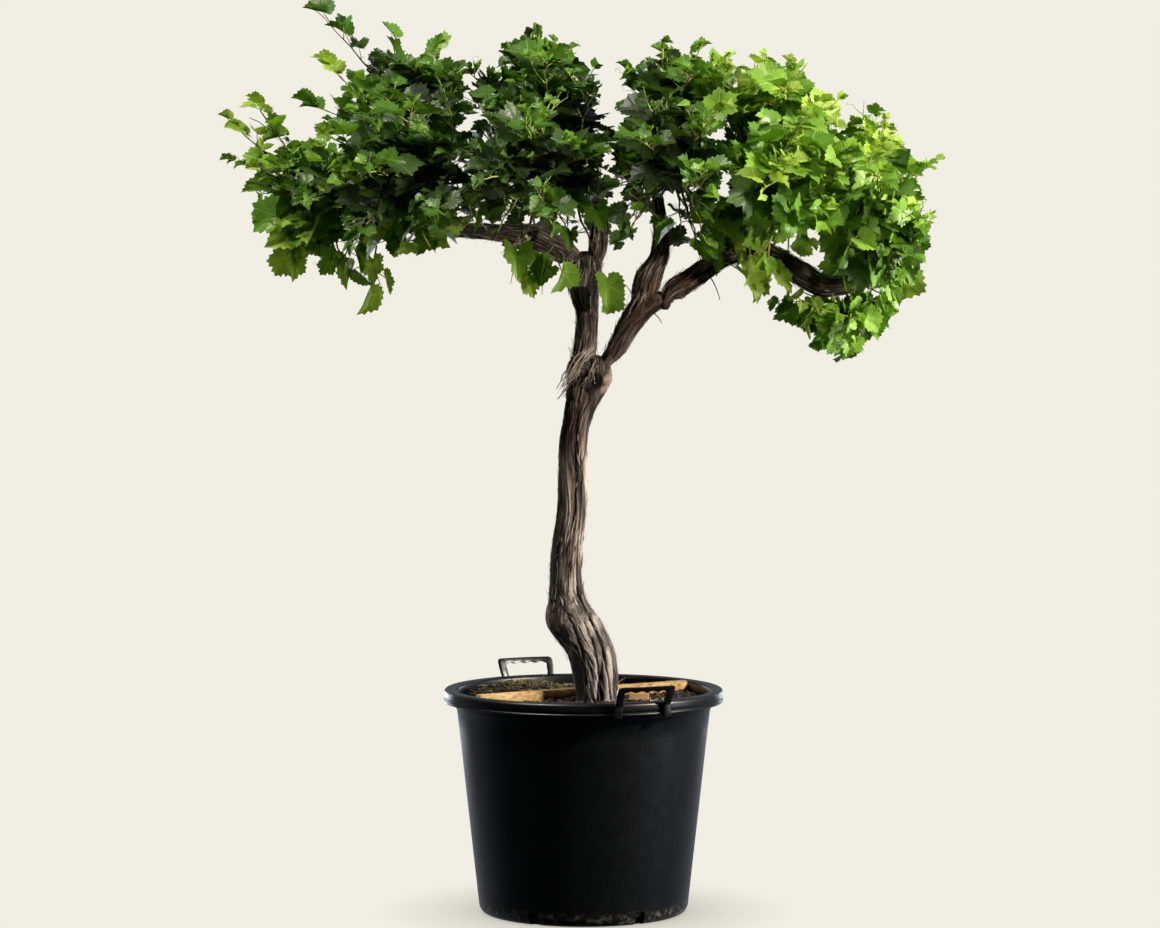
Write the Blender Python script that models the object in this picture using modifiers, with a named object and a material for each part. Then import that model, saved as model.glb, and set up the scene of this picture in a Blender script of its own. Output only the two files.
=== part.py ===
"""Potted grapevine: an old, gnarled vine in a black nursery pot with two moulded handles.

Metres, +Z up. The origin is at the centre of the pot's flat underside. +X is to the right and -Y is to the front.
The pot is filled, and the vine stands on the soil with a flat cut. The trunk forks into a left and a right stem,
and the boughs carry masses of foliage. Each mass grows by one seeded rule: a stem, shoots that branch from it,
and leaves that alternate along the shoots.
"""

import math
import random

import bmesh
import bpy
from mathutils import Vector
from mathutils.bvhtree import BVHTree

# Two pieces that touch keep this gap.
GAP = 0.0003
# Points and joints closer than this are one.
MERGE = 0.00001

# Pot: a round container with a straight taper and a rim that is turned down.
POT_HEIGHT = 0.440
POT_RIM_RADIUS = 0.275
POT_COLLAR_RADIUS = 0.2525
POT_WALL_RADIUS = 0.2490
POT_FOOT_RADIUS = 0.2070
POT_UNDERSIDE_RADIUS = 0.194
POT_WALL = 0.004
POT_FLOOR = 0.005
POT_CORNER = 0.022
RIM_SKIRT = 0.025
RIM_ROUND = 0.007
RIM_FOOT_ROUND = 0.003
COLLAR_BOTTOM = 0.400
ROUND_SEGMENTS = 40

# Drain notches through the pot's bottom corner.
NOTCH_COUNT = 6
NOTCH_FIRST_DEG = -118.0
NOTCH_WIDTH = 0.020
NOTCH_HEIGHT = 0.028
NOTCH_DEPTH = 0.050

# Handles: two brackets on opposite sides of the rim, each with a grip bar and four finger scallops.
HANDLE_BEARING_DEG = -66.0
HANDLE_SPAN = 0.112
HANDLE_GRIP = 0.086
HANDLE_FOOT_FLARE = 0.004
HANDLE_TOP = 0.4725
HANDLE_BOTTOM = 0.411
HANDLE_BAR = 0.0085
HANDLE_THICK = 0.009
# Above this height the handle leans outwards.
HANDLE_BEND = 0.434
HANDLE_LEAN_DEG = 28.0
SCALLOPS = 4
SCALLOP_DEPTH = 0.0030
# Steps of the bar's outline: for each scallop, and along its top.
SCALLOP_STEPS = 4
SPINE_STEPS = 6

# Soil: level round the trunk, heaped near the wall.
SOIL_LEVEL = 0.418
SOIL_RING_RADII = (0.055, 0.105, 0.155, 0.200, 0.232)
# Each heap is (x, y, radius, height).
SOIL_HEAPS = ((-0.125, 0.135, 0.115, 0.017), (0.150, -0.115, 0.065, 0.006), (0.030, 0.185, 0.075, 0.008))

# Timber that lies on the soil: a long plank on edge behind the trunk, and a short offcut beside it.
PLANK_SIZE = (0.484, 0.017, 0.022)
PLANK_PLACE = (0.0, 0.008)
PLANK_TURN_DEG = 32.7
OFFCUT_SIZE = (0.040, 0.012, 0.0185)
OFFCUT_PLACE = (0.108, -0.030)
OFFCUT_TURN_DEG = 4.0

# Limbs. A row is (x, y, z, half width, half depth, square): square is 0 where the section is level and 1 where
# it is square to the limb.
TRUNK_FOOT = SOIL_LEVEL + GAP
FORK = 1.075
LEFT_FORK = 1.277
RIGHT_FORK = 1.200
LIMBS = {
    "trunk": (
        (0.028, -0.050, TRUNK_FOOT, 0.045, 0.040, 0),
        (0.025, -0.049, 0.440, 0.043, 0.040, 0),
        (0.014, -0.045, 0.508, 0.049, 0.044, 0),
        (-0.015, -0.038, 0.564, 0.055, 0.045, 0),
        (-0.033, -0.032, 0.627, 0.035, 0.036, 0),
        (-0.033, -0.026, 0.715, 0.030, 0.031, 0),
        (-0.022, -0.018, 0.800, 0.029, 0.029, 0),
        (-0.020, -0.012, 0.920, 0.028, 0.028, 0),
        (-0.008, -0.007, 0.980, 0.030, 0.029, 0),
        (0.011, -0.003, 1.040, 0.042, 0.033, 0),
        (0.012, 0.000, FORK, 0.043, 0.030, 0),
    ),
    "left_stem": (
        (-0.006, 0.000, FORK + GAP, 0.024, 0.025, 0),
        (0.000, 0.000, 1.101, 0.024, 0.024, 0),
        (0.006, -0.002, 1.170, 0.022, 0.023, 0),
        (-0.001, -0.004, 1.226, 0.030, 0.026, 0),
        (0.004, -0.006, LEFT_FORK, 0.033, 0.027, 0),
    ),
    "left_bough": (
        (-0.013, -0.006, LEFT_FORK + GAP, 0.015, 0.022, 0),
        (-0.034, -0.010, 1.2935, 0.0235, 0.023, 1),
        (-0.054, -0.014, 1.3050, 0.0235, 0.023, 1),
        (-0.098, -0.022, 1.3270, 0.0240, 0.022, 1),
        (-0.135, -0.027, 1.3310, 0.0185, 0.018, 1),
        (-0.220, -0.030, 1.3380, 0.0150, 0.016, 1),
        (-0.340, -0.025, 1.3450, 0.0120, 0.012, 1),
    ),
    "left_head": (
        (0.0215, -0.006, LEFT_FORK + GAP, 0.0155, 0.020, 0),
        (0.0270, -0.003, 1.3100, 0.0190, 0.020, 1),
        (0.0300, 0.002, 1.3500, 0.0180, 0.018, 1),
        (0.0260, 0.006, 1.3850, 0.0130, 0.013, 1),
    ),
    "right_stem": (
        (0.0370, 0.000, FORK + GAP, 0.0165, 0.020, 0),
        (0.0600, 0.000, 1.101, 0.0215, 0.021, 0),
        (0.0790, -0.002, 1.136, 0.0245, 0.023, 0),
        (0.1005, -0.004, 1.171, 0.0300, 0.024, 0),
        (0.1180, -0.006, 1.189, 0.0380, 0.024, 0),
        (0.1320, -0.008, RIGHT_FORK, 0.0430, 0.024, 0),
    ),
    "upright_bough": (
        (0.1150, -0.008, RIGHT_FORK + GAP, 0.0250, 0.023, 0),
        (0.1205, -0.006, 1.2260, 0.0270, 0.024, 0),
        (0.1300, 0.000, 1.2590, 0.0270, 0.024, 0),
        (0.1485, 0.006, 1.2960, 0.0190, 0.019, 0),
        (0.1500, 0.010, 1.3450, 0.0150, 0.015, 1),
        (0.1440, 0.012, 1.4150, 0.0110, 0.011, 1),
    ),
    "right_bough": (
        (0.1595, -0.010, RIGHT_FORK + GAP, 0.0125, 0.020, 0),
        (0.1740, -0.014, 1.2210, 0.0215, 0.022, 1),
        (0.1960, -0.019, 1.2370, 0.0220, 0.022, 1),
        (0.2170, -0.024, 1.2500, 0.0215, 0.021, 1),
        (0.2600, -0.032, 1.2800, 0.0200, 0.020, 1),
        (0.3100, -0.040, 1.3020, 0.0200, 0.020, 1),
    ),
    "right_bough_end": (
        (0.3100 + GAP, -0.040, 1.3020, 0.0200, 0.020, 1),
        (0.3450, -0.046, 1.3000, 0.0200, 0.020, 1),
        (0.3790, -0.052, 1.2840, 0.0210, 0.021, 1),
        (0.4260, -0.060, 1.2530, 0.0240, 0.022, 1),
        (0.4700, -0.066, 1.2310, 0.0215, 0.021, 1),
        (0.5350, -0.072, 1.2340, 0.0140, 0.014, 1),
    ),
}
# The right bough is split where it bends down, by a plane that faces this way.
BEND_FACE = Vector((0.992, -0.124, 0.0))
BEND_ENDS = {"right_bough": -1, "right_bough_end": 0}
LIMB_SIDES = {"trunk": 14}
LIMB_RING_STEP = {"trunk": 0.028}
USUAL_SIDES = 10
USUAL_RING_STEP = 0.024
# Furrows along a limb: how many run round it, how deep as a share of its radius, and their turn in radians per metre.
FURROWS = 3
FURROW_DEPTH = 0.045
FURROW_TURN = 5.0

# A leaf of length one, from the end of its stalk at the origin to its tip, with the root of the stalk at the start.
LEAF_OUTLINE = (
    (0.0, -0.45), (0.045, -0.02), (0.41, -0.17), (0.57, 0.36),
    (0.0, 1.0), (-0.57, 0.36), (-0.41, -0.17), (-0.045, -0.02),
)
LEAF_MIDDLE = 0.12
LEAF_CUP = 0.10
LEAF_THICK = 0.030
LEAF_LENGTHS = (0.088, 0.112)
# A leaf's size as a share of the usual: at the tip of a leading shoot, at any other tip, and for each new try.
LEADING_TIP_LEAF = 0.40
TIP_LEAF = 0.75
# Leaves reach their full size this far from the tip, of a leading shoot and of any other.
LEADING_TIP_ZONE = 0.24
TIP_ZONE = 0.08
LEAF_RETRY_SHRINK = 0.026
# A leaf's heading: how much it goes to the side, out of the crown, down, and by chance at first and more at each try.
LEAF_SIDEWAYS = 0.8
LEAF_OUTWARD = 0.45
LEAF_DROOP = 0.15
LEAF_CHANCE = (0.25, 0.07)
# The way a leaf faces: how much out of the crown, towards the nearer of front and back, and up.
FACE_OUT = 0.5
FACE_FRONT = 0.7
FACE_UP = 0.45
FRONT_AND_BACK_MEET = -0.04
LEAF_ROOT_SINK = 0.0012

# Shoots and stems are three-sided.
STEM_RADII = (0.0060, 0.0042)
SHOOT_RADII = (0.0040, 0.0022)
SHOOT_SPANS = 2
STEM_SPANS = 3
LEAF_SPACING = 0.030
TIP_SETBACK = 0.010
FIRST_LEAF = 0.025
SHOOT_TRIES = 6
# Shoots leave their stem between these shares of its length, and rise first by this much.
SHOOT_PLACES = (0.35, 0.95)
SHOOT_RISE = 0.40
LEADING_RISE = 0.10
# A shoot ends at this share of the way to the reach of its space, and at less for each new try.
SHOOT_REACH = 0.92
SHOOT_RETRY_SHORTER = 0.08
GROWTH_SEED = "3"
LEAF_TRIES = 20

# The whole crown as one rounded form, which leaves face away from.
CROWN_MIDDLE = Vector((0.0, 0.0, 1.33))
CROWN_REACH = Vector((0.70, 0.42, 0.36))

# The crown's edge from the front, brought to the plane of the trunk: (x, z) along its top and along its foot.
CROWN_TOP = (
    (-0.71, 1.59), (-0.55, 1.54), (-0.48, 1.62), (-0.41, 1.71), (-0.20, 1.68), (-0.09, 1.74), (0.05, 1.67),
    (0.17, 1.71), (0.38, 1.69), (0.61, 1.56), (0.64, 1.49), (0.70, 1.48),
)
CROWN_FOOT = (
    (-0.71, 1.45), (-0.63, 1.31), (-0.47, 1.20), (-0.38, 1.20), (-0.34, 1.29), (-0.19, 1.31), (-0.16, 1.20),
    (-0.09, 1.18), (0.06, 1.20), (0.09, 1.31), (0.23, 1.25), (0.35, 1.21), (0.38, 1.14), (0.49, 1.09),
    (0.62, 1.18), (0.70, 1.40),
)
EDGE_SLACK = 0.016
VIEW_PLACE = (-0.0070, -7.2, 1.240)

# Masses of foliage: the limb and the spot on it where the stem starts, the way the stem leaves it, the middle and the
# reach of the mass's space, its number of shoots, and the tips of its leading or hanging shoots.
FOLIAGE = {
    "foliage_far_left": (
        "left_bough", (-0.335, -0.025, 1.345), (-1.0, 0.0, 0.1), (-0.530, -0.03, 1.390), (0.150, 0.27, 0.155), 5,
        (
            (-0.628, -0.06, 1.600), (-0.682, -0.05, 1.545), (-0.684, -0.04, 1.480), (-0.400, -0.10, 1.215),
            (-0.450, -0.11, 1.245), (-0.505, -0.09, 1.262), (-0.560, -0.08, 1.275),
        ),
    ),
    "foliage_left_front": (
        "left_bough", (-0.325, -0.025, 1.344), (-0.3, -0.8, 0.5), (-0.350, -0.22, 1.440), (0.180, 0.20, 0.180), 5,
        ((-0.258, -0.10, 1.310), (-0.320, -0.11, 1.300)),
    ),
    "foliage_left_back": (
        "left_bough", (-0.315, -0.025, 1.343), (-0.3, 0.8, 0.5), (-0.350, 0.20, 1.440), (0.180, 0.21, 0.190), 4, (),
    ),
    "foliage_left_top": (
        "left_bough", (-0.305, -0.025, 1.342), (-0.1, 0.1, 1.0), (-0.350, -0.01, 1.585), (0.200, 0.27, 0.140), 5,
        ((-0.507, -0.05, 1.778), (-0.370, -0.04, 1.735), (-0.525, -0.03, 1.580), (-0.290, -0.02, 1.690)),
    ),
    "foliage_middle_front": (
        "left_head", (0.027, 0.004, 1.375), (-0.5, -0.8, 0.3), (-0.120, -0.21, 1.450), (0.185, 0.21, 0.180), 5,
        (
            (-0.082, -0.12, 1.215), (0.050, -0.11, 1.220), (-0.142, -0.11, 1.235), (-0.045, -0.12, 1.262),
            (-0.190, -0.10, 1.315),
        ),
    ),
    "foliage_middle_back": (
        "left_head", (0.027, 0.005, 1.375), (-0.5, 0.8, 0.3), (-0.120, 0.20, 1.450), (0.185, 0.21, 0.185), 4, (),
    ),
    "foliage_middle_top": (
        "left_head", (0.026, 0.005, 1.380), (-0.2, 0.0, 1.0), (-0.110, 0.00, 1.600), (0.180, 0.27, 0.135), 5,
        ((-0.095, -0.02, 1.725), (0.020, -0.04, 1.655), (-0.030, 0.02, 1.690)),
    ),
    "foliage_inner_front": (
        "upright_bough", (0.145, 0.011, 1.400), (0.2, -0.9, 0.3), (0.175, -0.20, 1.450), (0.155, 0.20, 0.180), 4,
        (
            (0.085, -0.09, 1.335), (0.060, -0.11, 1.420), (0.190, -0.08, 1.312), (0.225, -0.09, 1.280),
            (0.050, -0.09, 1.520),
        ),
    ),
    "foliage_inner_back": (
        "upright_bough", (0.145, 0.012, 1.400), (0.2, 0.9, 0.3), (0.175, 0.20, 1.450), (0.155, 0.21, 0.180), 4, (),
    ),
    "foliage_inner_top": (
        "upright_bough", (0.144, 0.012, 1.408), (0.1, 0.0, 1.0), (0.190, 0.00, 1.595), (0.140, 0.27, 0.120), 4,
        ((0.155, -0.02, 1.690), (0.225, 0.02, 1.690), (0.085, -0.04, 1.640)),
    ),
    "foliage_right_front": (
        "right_bough", (0.298, -0.038, 1.298), (0.1, -0.6, 0.8), (0.395, -0.22, 1.430), (0.170, 0.20, 0.185), 5,
        ((0.265, -0.12, 1.275), (0.315, -0.12, 1.255), (0.345, -0.12, 1.262), (0.250, -0.11, 1.315)),
    ),
    "foliage_right_back": (
        "right_bough", (0.290, -0.037, 1.296), (0.1, 0.7, 0.7), (0.400, 0.19, 1.430), (0.170, 0.21, 0.190), 4, (),
    ),
    "foliage_right_top": (
        "right_bough", (0.275, -0.035, 1.290), (0.0, 0.1, 1.0), (0.385, -0.01, 1.585), (0.165, 0.26, 0.115), 5, (),
    ),
    "foliage_outer_front": (
        "right_bough_end", (0.530, -0.072, 1.234), (0.6, -0.5, 0.6), (0.570, -0.19, 1.360), (0.115, 0.20, 0.190), 5,
        ((0.655, -0.09, 1.400), (0.630, -0.10, 1.250), (0.655, -0.08, 1.310)),
    ),
    "foliage_outer_back": (
        "right_bough_end", (0.520, -0.070, 1.234), (0.3, 0.8, 0.5), (0.570, 0.14, 1.390), (0.120, 0.22, 0.200), 5,
        ((0.682, -0.02, 1.472), (0.545, -0.01, 1.645), (0.585, -0.04, 1.560)),
    ),
    "foliage_low_right": (
        "right_bough_end", (0.520, -0.071, 1.232), (0.2, -0.3, -0.9), (0.510, -0.09, 1.165), (0.140, 0.17, 0.085), 7,
        ((0.405, -0.10, 1.190), (0.485, -0.12, 1.125), (0.580, -0.11, 1.165), (0.555, -0.05, 1.135)),
    ),
}
SPACE_SLACK = 1.0
# The crown's box, which no leaf leaves.
CROWN_LOW = (-0.711, -0.440, 1.092)
CROWN_HIGH = (0.704, 0.430, 1.785)

# Open spaces in the crown, as (lowest corner, highest corner): sky between the two halves, and limbs that show.
CLEARINGS = (
    ((0.034, -0.60, 1.575), (0.064, 0.60, 1.690)),
    ((-0.085, -0.60, 1.590), (-0.050, 0.60, 1.625)),
    ((-0.170, -0.60, 1.290), (-0.022, -0.02, 1.352)),
    ((0.385, -0.60, 1.232), (0.520, -0.05, 1.292)),
    ((-0.040, -0.60, 1.000), (0.000, 0.60, 1.285)),
    ((0.080, -0.60, 1.000), (0.185, 0.60, 1.295)),
)

# Material colours, as (red, green, blue, roughness).
LOOKS = {
    "black_plastic": (0.012, 0.012, 0.013, 0.38),
    "soil": (0.060, 0.040, 0.025, 0.95),
    "timber": (0.480, 0.270, 0.120, 0.80),
    "bark": (0.130, 0.085, 0.060, 0.90),
    "leaf": (0.085, 0.210, 0.025, 0.55),
}


def clear_scene():
    for old in list(bpy.data.objects):
        bpy.data.objects.remove(old, do_unlink=True)


def new_collection(name):
    group = bpy.data.collections.new(name)
    bpy.context.scene.collection.children.link(group)
    return group


def material(name):
    found = bpy.data.materials.get(name)
    if found:
        return found
    red, green, blue, roughness = LOOKS[name]
    made = bpy.data.materials.new(name)
    made.use_nodes = True
    shader = made.node_tree.nodes["Principled BSDF"]
    shader.inputs["Base Color"].default_value = (red, green, blue, 1.0)
    shader.inputs["Roughness"].default_value = roughness
    shader.inputs["Metallic"].default_value = 0.0
    return made


def mesh_object(name, form, group, look):
    """An object from a bmesh, with its normals turned outwards."""
    bmesh.ops.recalc_face_normals(form, faces=form.faces[:])
    data = bpy.data.meshes.new(name)
    form.to_mesh(data)
    form.free()
    made = bpy.data.objects.new(name, data)
    data.materials.append(material(look))
    group.objects.link(made)
    return made


def applied(piece, weld=True):
    """The piece with its modifiers or its curve turned into a plain mesh, welded where its ends are loose."""
    data = bpy.data.meshes.new_from_object(piece.evaluated_get(bpy.context.evaluated_depsgraph_get()))
    form = bmesh.new()
    form.from_mesh(data)
    bpy.data.meshes.remove(data)
    form.transform(piece.matrix_world)
    if weld:
        bmesh.ops.remove_doubles(form, verts=form.verts[:], dist=MERGE)
    name, look, group = piece.name, piece.data.materials[0].name, piece.users_collection[0]
    bpy.data.objects.remove(piece, do_unlink=True)
    return mesh_object(name, form, group, look)


def shade_round(piece, angle_deg=35.0):
    piece.data.shade_smooth()
    piece.data.set_sharp_from_angle(angle=math.radians(angle_deg))


def turned(name, profile, group, look):
    """A profile of (radius, height) turned about Z."""
    form = bmesh.new()
    points = [form.verts.new((radius, 0.0, height)) for radius, height in profile]
    for first, second in zip(points, points[1:]):
        form.edges.new((first, second))
    data = bpy.data.meshes.new(name)
    form.to_mesh(data)
    form.free()
    made = bpy.data.objects.new(name, data)
    data.materials.append(material(look))
    group.objects.link(made)
    screw = made.modifiers.new("turn", "SCREW")
    screw.axis = "Z"
    screw.angle = math.tau
    screw.steps = ROUND_SEGMENTS
    screw.render_steps = ROUND_SEGMENTS
    screw.use_merge_vertices = True
    screw.merge_threshold = MERGE
    return made


def inner_radius(height):
    """The inside of the pot's wall at a height."""
    share = (height - POT_CORNER) / (COLLAR_BOTTOM - POT_CORNER)
    return POT_FOOT_RADIUS + (POT_WALL_RADIUS - POT_FOOT_RADIUS) * share - POT_WALL


def pot(group, cutters):
    rim_bottom = POT_HEIGHT - RIM_SKIRT
    under_rim = POT_HEIGHT - POT_WALL - RIM_ROUND
    inner_top = inner_radius(under_rim)
    profile = (
        (0.0, POT_FLOOR),
        (inner_radius(POT_CORNER) - POT_CORNER * 0.6, POT_FLOOR),
        (inner_radius(POT_CORNER), POT_CORNER),
        (inner_top, under_rim),
        (inner_top + RIM_ROUND, POT_HEIGHT - 0.001),
        (POT_RIM_RADIUS - RIM_ROUND, POT_HEIGHT),
        (POT_RIM_RADIUS - RIM_ROUND * 0.3, POT_HEIGHT - RIM_ROUND * 0.3),
        (POT_RIM_RADIUS, POT_HEIGHT - RIM_ROUND),
        (POT_RIM_RADIUS, rim_bottom + RIM_FOOT_ROUND),
        (POT_RIM_RADIUS - RIM_FOOT_ROUND, rim_bottom),
        (POT_RIM_RADIUS - POT_WALL, rim_bottom),
        (POT_RIM_RADIUS - POT_WALL, under_rim),
        (POT_COLLAR_RADIUS, under_rim),
        (POT_COLLAR_RADIUS, COLLAR_BOTTOM + 0.005),
        (POT_WALL_RADIUS, COLLAR_BOTTOM),
        (POT_FOOT_RADIUS, POT_CORNER),
        (POT_FOOT_RADIUS - 0.005, POT_CORNER * 0.3),
        (POT_UNDERSIDE_RADIUS, 0.0),
        (0.0, 0.0),
    )
    made = turned("pot", profile, group, "black_plastic")
    for index in range(NOTCH_COUNT):
        bearing = math.radians(NOTCH_FIRST_DEG + index * 360.0 / NOTCH_COUNT)
        bpy.ops.mesh.primitive_cube_add(size=1.0)
        cutter = bpy.context.object
        cutter.name = f"notch_{index + 1}"
        cutter.scale = (NOTCH_DEPTH, NOTCH_WIDTH, NOTCH_HEIGHT)
        bpy.ops.object.transform_apply(location=False, rotation=False, scale=True)
        cutter.rotation_euler.z = bearing
        out = POT_UNDERSIDE_RADIUS - 0.006 + NOTCH_DEPTH / 2
        cutter.location = (out * math.cos(bearing), out * math.sin(bearing), NOTCH_HEIGHT / 2 - 0.002)
        cutter.hide_render = True
        cutter.display_type = "WIRE"
        for home in list(cutter.users_collection):
            home.objects.unlink(cutter)
        cutters.objects.link(cutter)
        cut = made.modifiers.new(cutter.name, "BOOLEAN")
        cut.operation = "DIFFERENCE"
        cut.object = cutter
    shade_round(made)


def soil_height(x, y):
    """The height of the heaps above the soil's level."""
    height = 0.0
    for heap_x, heap_y, radius, top in SOIL_HEAPS:
        away = math.hypot(x - heap_x, y - heap_y) / radius
        if away < 1.0:
            height += top * (1.0 - away * away) ** 2
    return height


def soil(group):
    edge = inner_radius(SOIL_LEVEL) - GAP
    foot = inner_radius(POT_CORNER) - GAP
    bottom = POT_FLOOR + GAP
    profile = [(0.0, SOIL_LEVEL)]
    profile += [(radius, SOIL_LEVEL) for radius in SOIL_RING_RADII]
    profile += [
        (edge, SOIL_LEVEL),
        (foot, POT_CORNER),
        (foot - POT_CORNER * 0.6, bottom),
        (0.0, bottom),
    ]
    made = applied(turned("soil", profile, group, "soil"))
    for point in made.data.vertices:
        if point.co.z > SOIL_LEVEL - GAP:
            point.co.z += soil_height(point.co.x, point.co.y)
    shade_round(made)


def outward(piece):
    """Turn the piece's faces to point outwards."""
    form = bmesh.new()
    form.from_mesh(piece.data)
    bmesh.ops.recalc_face_normals(form, faces=form.faces[:])
    form.to_mesh(piece.data)
    form.free()


def handle(name, bearing_deg, group):
    """A bracket outside the rim: two legs that lean outwards above it, and a bar, bent to the pot's round."""
    half_span = HANDLE_SPAN / 2
    half_grip = HANDLE_GRIP / 2
    bar_bottom = HANDLE_TOP - HANDLE_BAR
    corner = HANDLE_BAR / 2
    under = []
    under_steps = SCALLOPS * SCALLOP_STEPS
    for index in range(under_steps + 1):
        along = index / under_steps
        hollow = math.sin(math.pi * along * SCALLOPS) ** 2
        under.append((half_grip * (1.0 - 2.0 * along), bar_bottom + SCALLOP_DEPTH * (hollow - 1.0)))
    over = [
        (-half_span + corner + (HANDLE_SPAN - 2 * corner) * index / SPINE_STEPS, HANDLE_TOP)
        for index in range(SPINE_STEPS + 1)
    ]
    bend_span = half_span + HANDLE_FOOT_FLARE * (HANDLE_TOP - HANDLE_BEND) / (HANDLE_TOP - HANDLE_BOTTOM)
    outline = [(half_span, HANDLE_TOP - corner), (bend_span, HANDLE_BEND)]
    outline += [(half_span + HANDLE_FOOT_FLARE, HANDLE_BOTTOM), (half_grip, HANDLE_BOTTOM), (half_grip, HANDLE_BEND)]
    outline += under + [(-half_grip, HANDLE_BEND), (-half_grip, HANDLE_BOTTOM)]
    outline += [(-half_span - HANDLE_FOOT_FLARE, HANDLE_BOTTOM), (-bend_span, HANDLE_BEND)]
    outline += [(-half_span, HANDLE_TOP - corner)]
    outline += over
    curve = bpy.data.curves.new(name, "CURVE")
    curve.dimensions = "2D"
    curve.fill_mode = "BOTH"
    curve.extrude = HANDLE_THICK / 2
    spline = curve.splines.new("POLY")
    spline.points.add(len(outline) - 1)
    for point, (across, up) in zip(spline.points, outline):
        point.co = (across, up, 0.0, 1.0)
    spline.use_cyclic_u = True
    curve.materials.append(material("black_plastic"))
    flat = bpy.data.objects.new(name, curve)
    group.objects.link(flat)
    made = applied(flat)
    reach = POT_RIM_RADIUS + GAP + HANDLE_THICK / 2
    bearing = math.radians(bearing_deg)
    lean = math.tan(math.radians(HANDLE_LEAN_DEG))
    for point in made.data.vertices:
        across, up, out = point.co
        angle = bearing + across / reach
        radius = reach + out + max(up - HANDLE_BEND, 0.0) * lean
        point.co = (radius * math.cos(angle), radius * math.sin(angle), up)
    outward(made)
    shade_round(made)


def timber(name, size, place, turn_deg, group):
    bpy.ops.mesh.primitive_cube_add(size=1.0)
    made = bpy.context.object
    made.name = name
    made.data.name = name
    made.scale = size
    bpy.ops.object.transform_apply(location=False, rotation=False, scale=True)
    made.rotation_euler.z = math.radians(turn_deg)
    made.location = (place[0], place[1], SOIL_LEVEL + GAP + size[2] / 2)
    made.data.materials.append(material("timber"))
    for home in list(made.users_collection):
        home.objects.unlink(made)
    group.objects.link(made)


def blended(rows, position):
    """A smooth row between the rows of a route."""
    index = min(int(position), len(rows) - 2)
    share = position - index
    before = rows[max(index - 1, 0)]
    start = rows[index]
    end = rows[index + 1]
    after = rows[min(index + 2, len(rows) - 1)]
    mixed = []
    for a, b, c, d in zip(before, start, end, after):
        bend = 2 * a - 5 * b + 4 * c - d
        swing = 3 * b - a - 3 * c + d
        mixed.append(b + 0.5 * share * (c - a + share * (bend + share * swing)))
    return mixed


def rings_of(rows, step):
    """Rows along a route, a step apart."""
    out = [list(rows[0])]
    for index in range(len(rows) - 1):
        length = (Vector(rows[index + 1][:3]) - Vector(rows[index][:3])).length
        pieces = max(1, round(length / step))
        out += [blended(rows, index + part / pieces) for part in range(1, pieces + 1)]
    return out


def loft(sections):
    """A closed form through rings of the same number of points."""
    form = bmesh.new()
    rings = [[form.verts.new(point) for point in section] for section in sections]
    count = len(rings[0])
    for lower, upper in zip(rings, rings[1:]):
        for index in range(count):
            following = (index + 1) % count
            form.faces.new((lower[index], lower[following], upper[following], upper[index]))
    form.faces.new(rings[0][::-1])
    form.faces.new(rings[-1])
    return form


def limb(name, rows, group):
    """A tapering limb: rings along its route, with shallow furrows that wind round it."""
    sides = LIMB_SIDES.get(name, USUAL_SIDES)
    rings = rings_of(rows, LIMB_RING_STEP.get(name, USUAL_RING_STEP))
    sections = []
    travelled = 0.0
    for index, (x, y, z, half_width, half_depth, square) in enumerate(rings):
        centre = Vector((x, y, z))
        before = Vector(rings[max(index - 1, 0)][:3])
        after = Vector(rings[min(index + 1, len(rings) - 1)][:3])
        travelled += (centre - before).length
        along = (after - before).normalized()
        normal = Vector((0, 0, 1)).lerp(along, min(max(square, 0.0), 1.0)).normalized()
        if name in BEND_ENDS and index == BEND_ENDS[name] % len(rings):
            normal = BEND_FACE
        depth_axis = (Vector((0, 1, 0)) - normal * normal.y).normalized()
        width_axis = depth_axis.cross(normal)
        section = []
        for side in range(sides):
            angle = math.tau * side / sides
            swell = 1.0 + FURROW_DEPTH * math.cos(FURROWS * angle + FURROW_TURN * travelled)
            section.append(
                centre
                + width_axis * (half_width * swell * math.cos(angle))
                + depth_axis * (half_depth * swell * math.sin(angle))
            )
        sections.append(section)
    made = mesh_object(name, loft(sections), group, "bark")
    shade_round(made, 50.0)
    return made


def bowed(start, lean, end, spans):
    """Points on a curve that leaves its start along lean and comes to its end."""
    pull = start + lean * (0.45 * (end - start).length)
    points = []
    for index in range(spans + 1):
        share = index / spans
        points.append(start * (1 - share) ** 2 + pull * (2 * share * (1 - share)) + end * share**2)
    return points


def at_length(points, length):
    """The place and the direction at a length along a line of points."""
    for first, second in zip(points, points[1:]):
        span = (second - first).length
        if length <= span:
            return first.lerp(second, length / span), (second - first) / span
        length -= span
    return points[-1].copy(), (points[-1] - points[-2]).normalized()


def line_length(points):
    return sum((second - first).length for first, second in zip(points, points[1:]))


def twig(points, radii, foot_normal=None):
    """A three-sided tapering twig along a line of points."""
    first = foot_normal or (points[1] - points[0]).normalized()
    across = min((Vector((1, 0, 0)), Vector((0, 1, 0)), Vector((0, 0, 1))), key=lambda axis: abs(axis.dot(first)))
    sections = []
    for index, centre in enumerate(points):
        before = points[max(index - 1, 0)]
        after = points[min(index + 1, len(points) - 1)]
        normal = (after - before).normalized()
        if index == 0 and foot_normal is not None:
            normal = foot_normal
        across = (across - normal * normal.dot(across)).normalized()
        other = normal.cross(across)
        radius = radii[0] + (radii[1] - radii[0]) * index / (len(points) - 1)
        corners = [math.tau * side / 3 for side in range(3)]
        sections.append([centre + (across * math.cos(a) + other * math.sin(a)) * radius for a in corners])
    return loft(sections)


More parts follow.
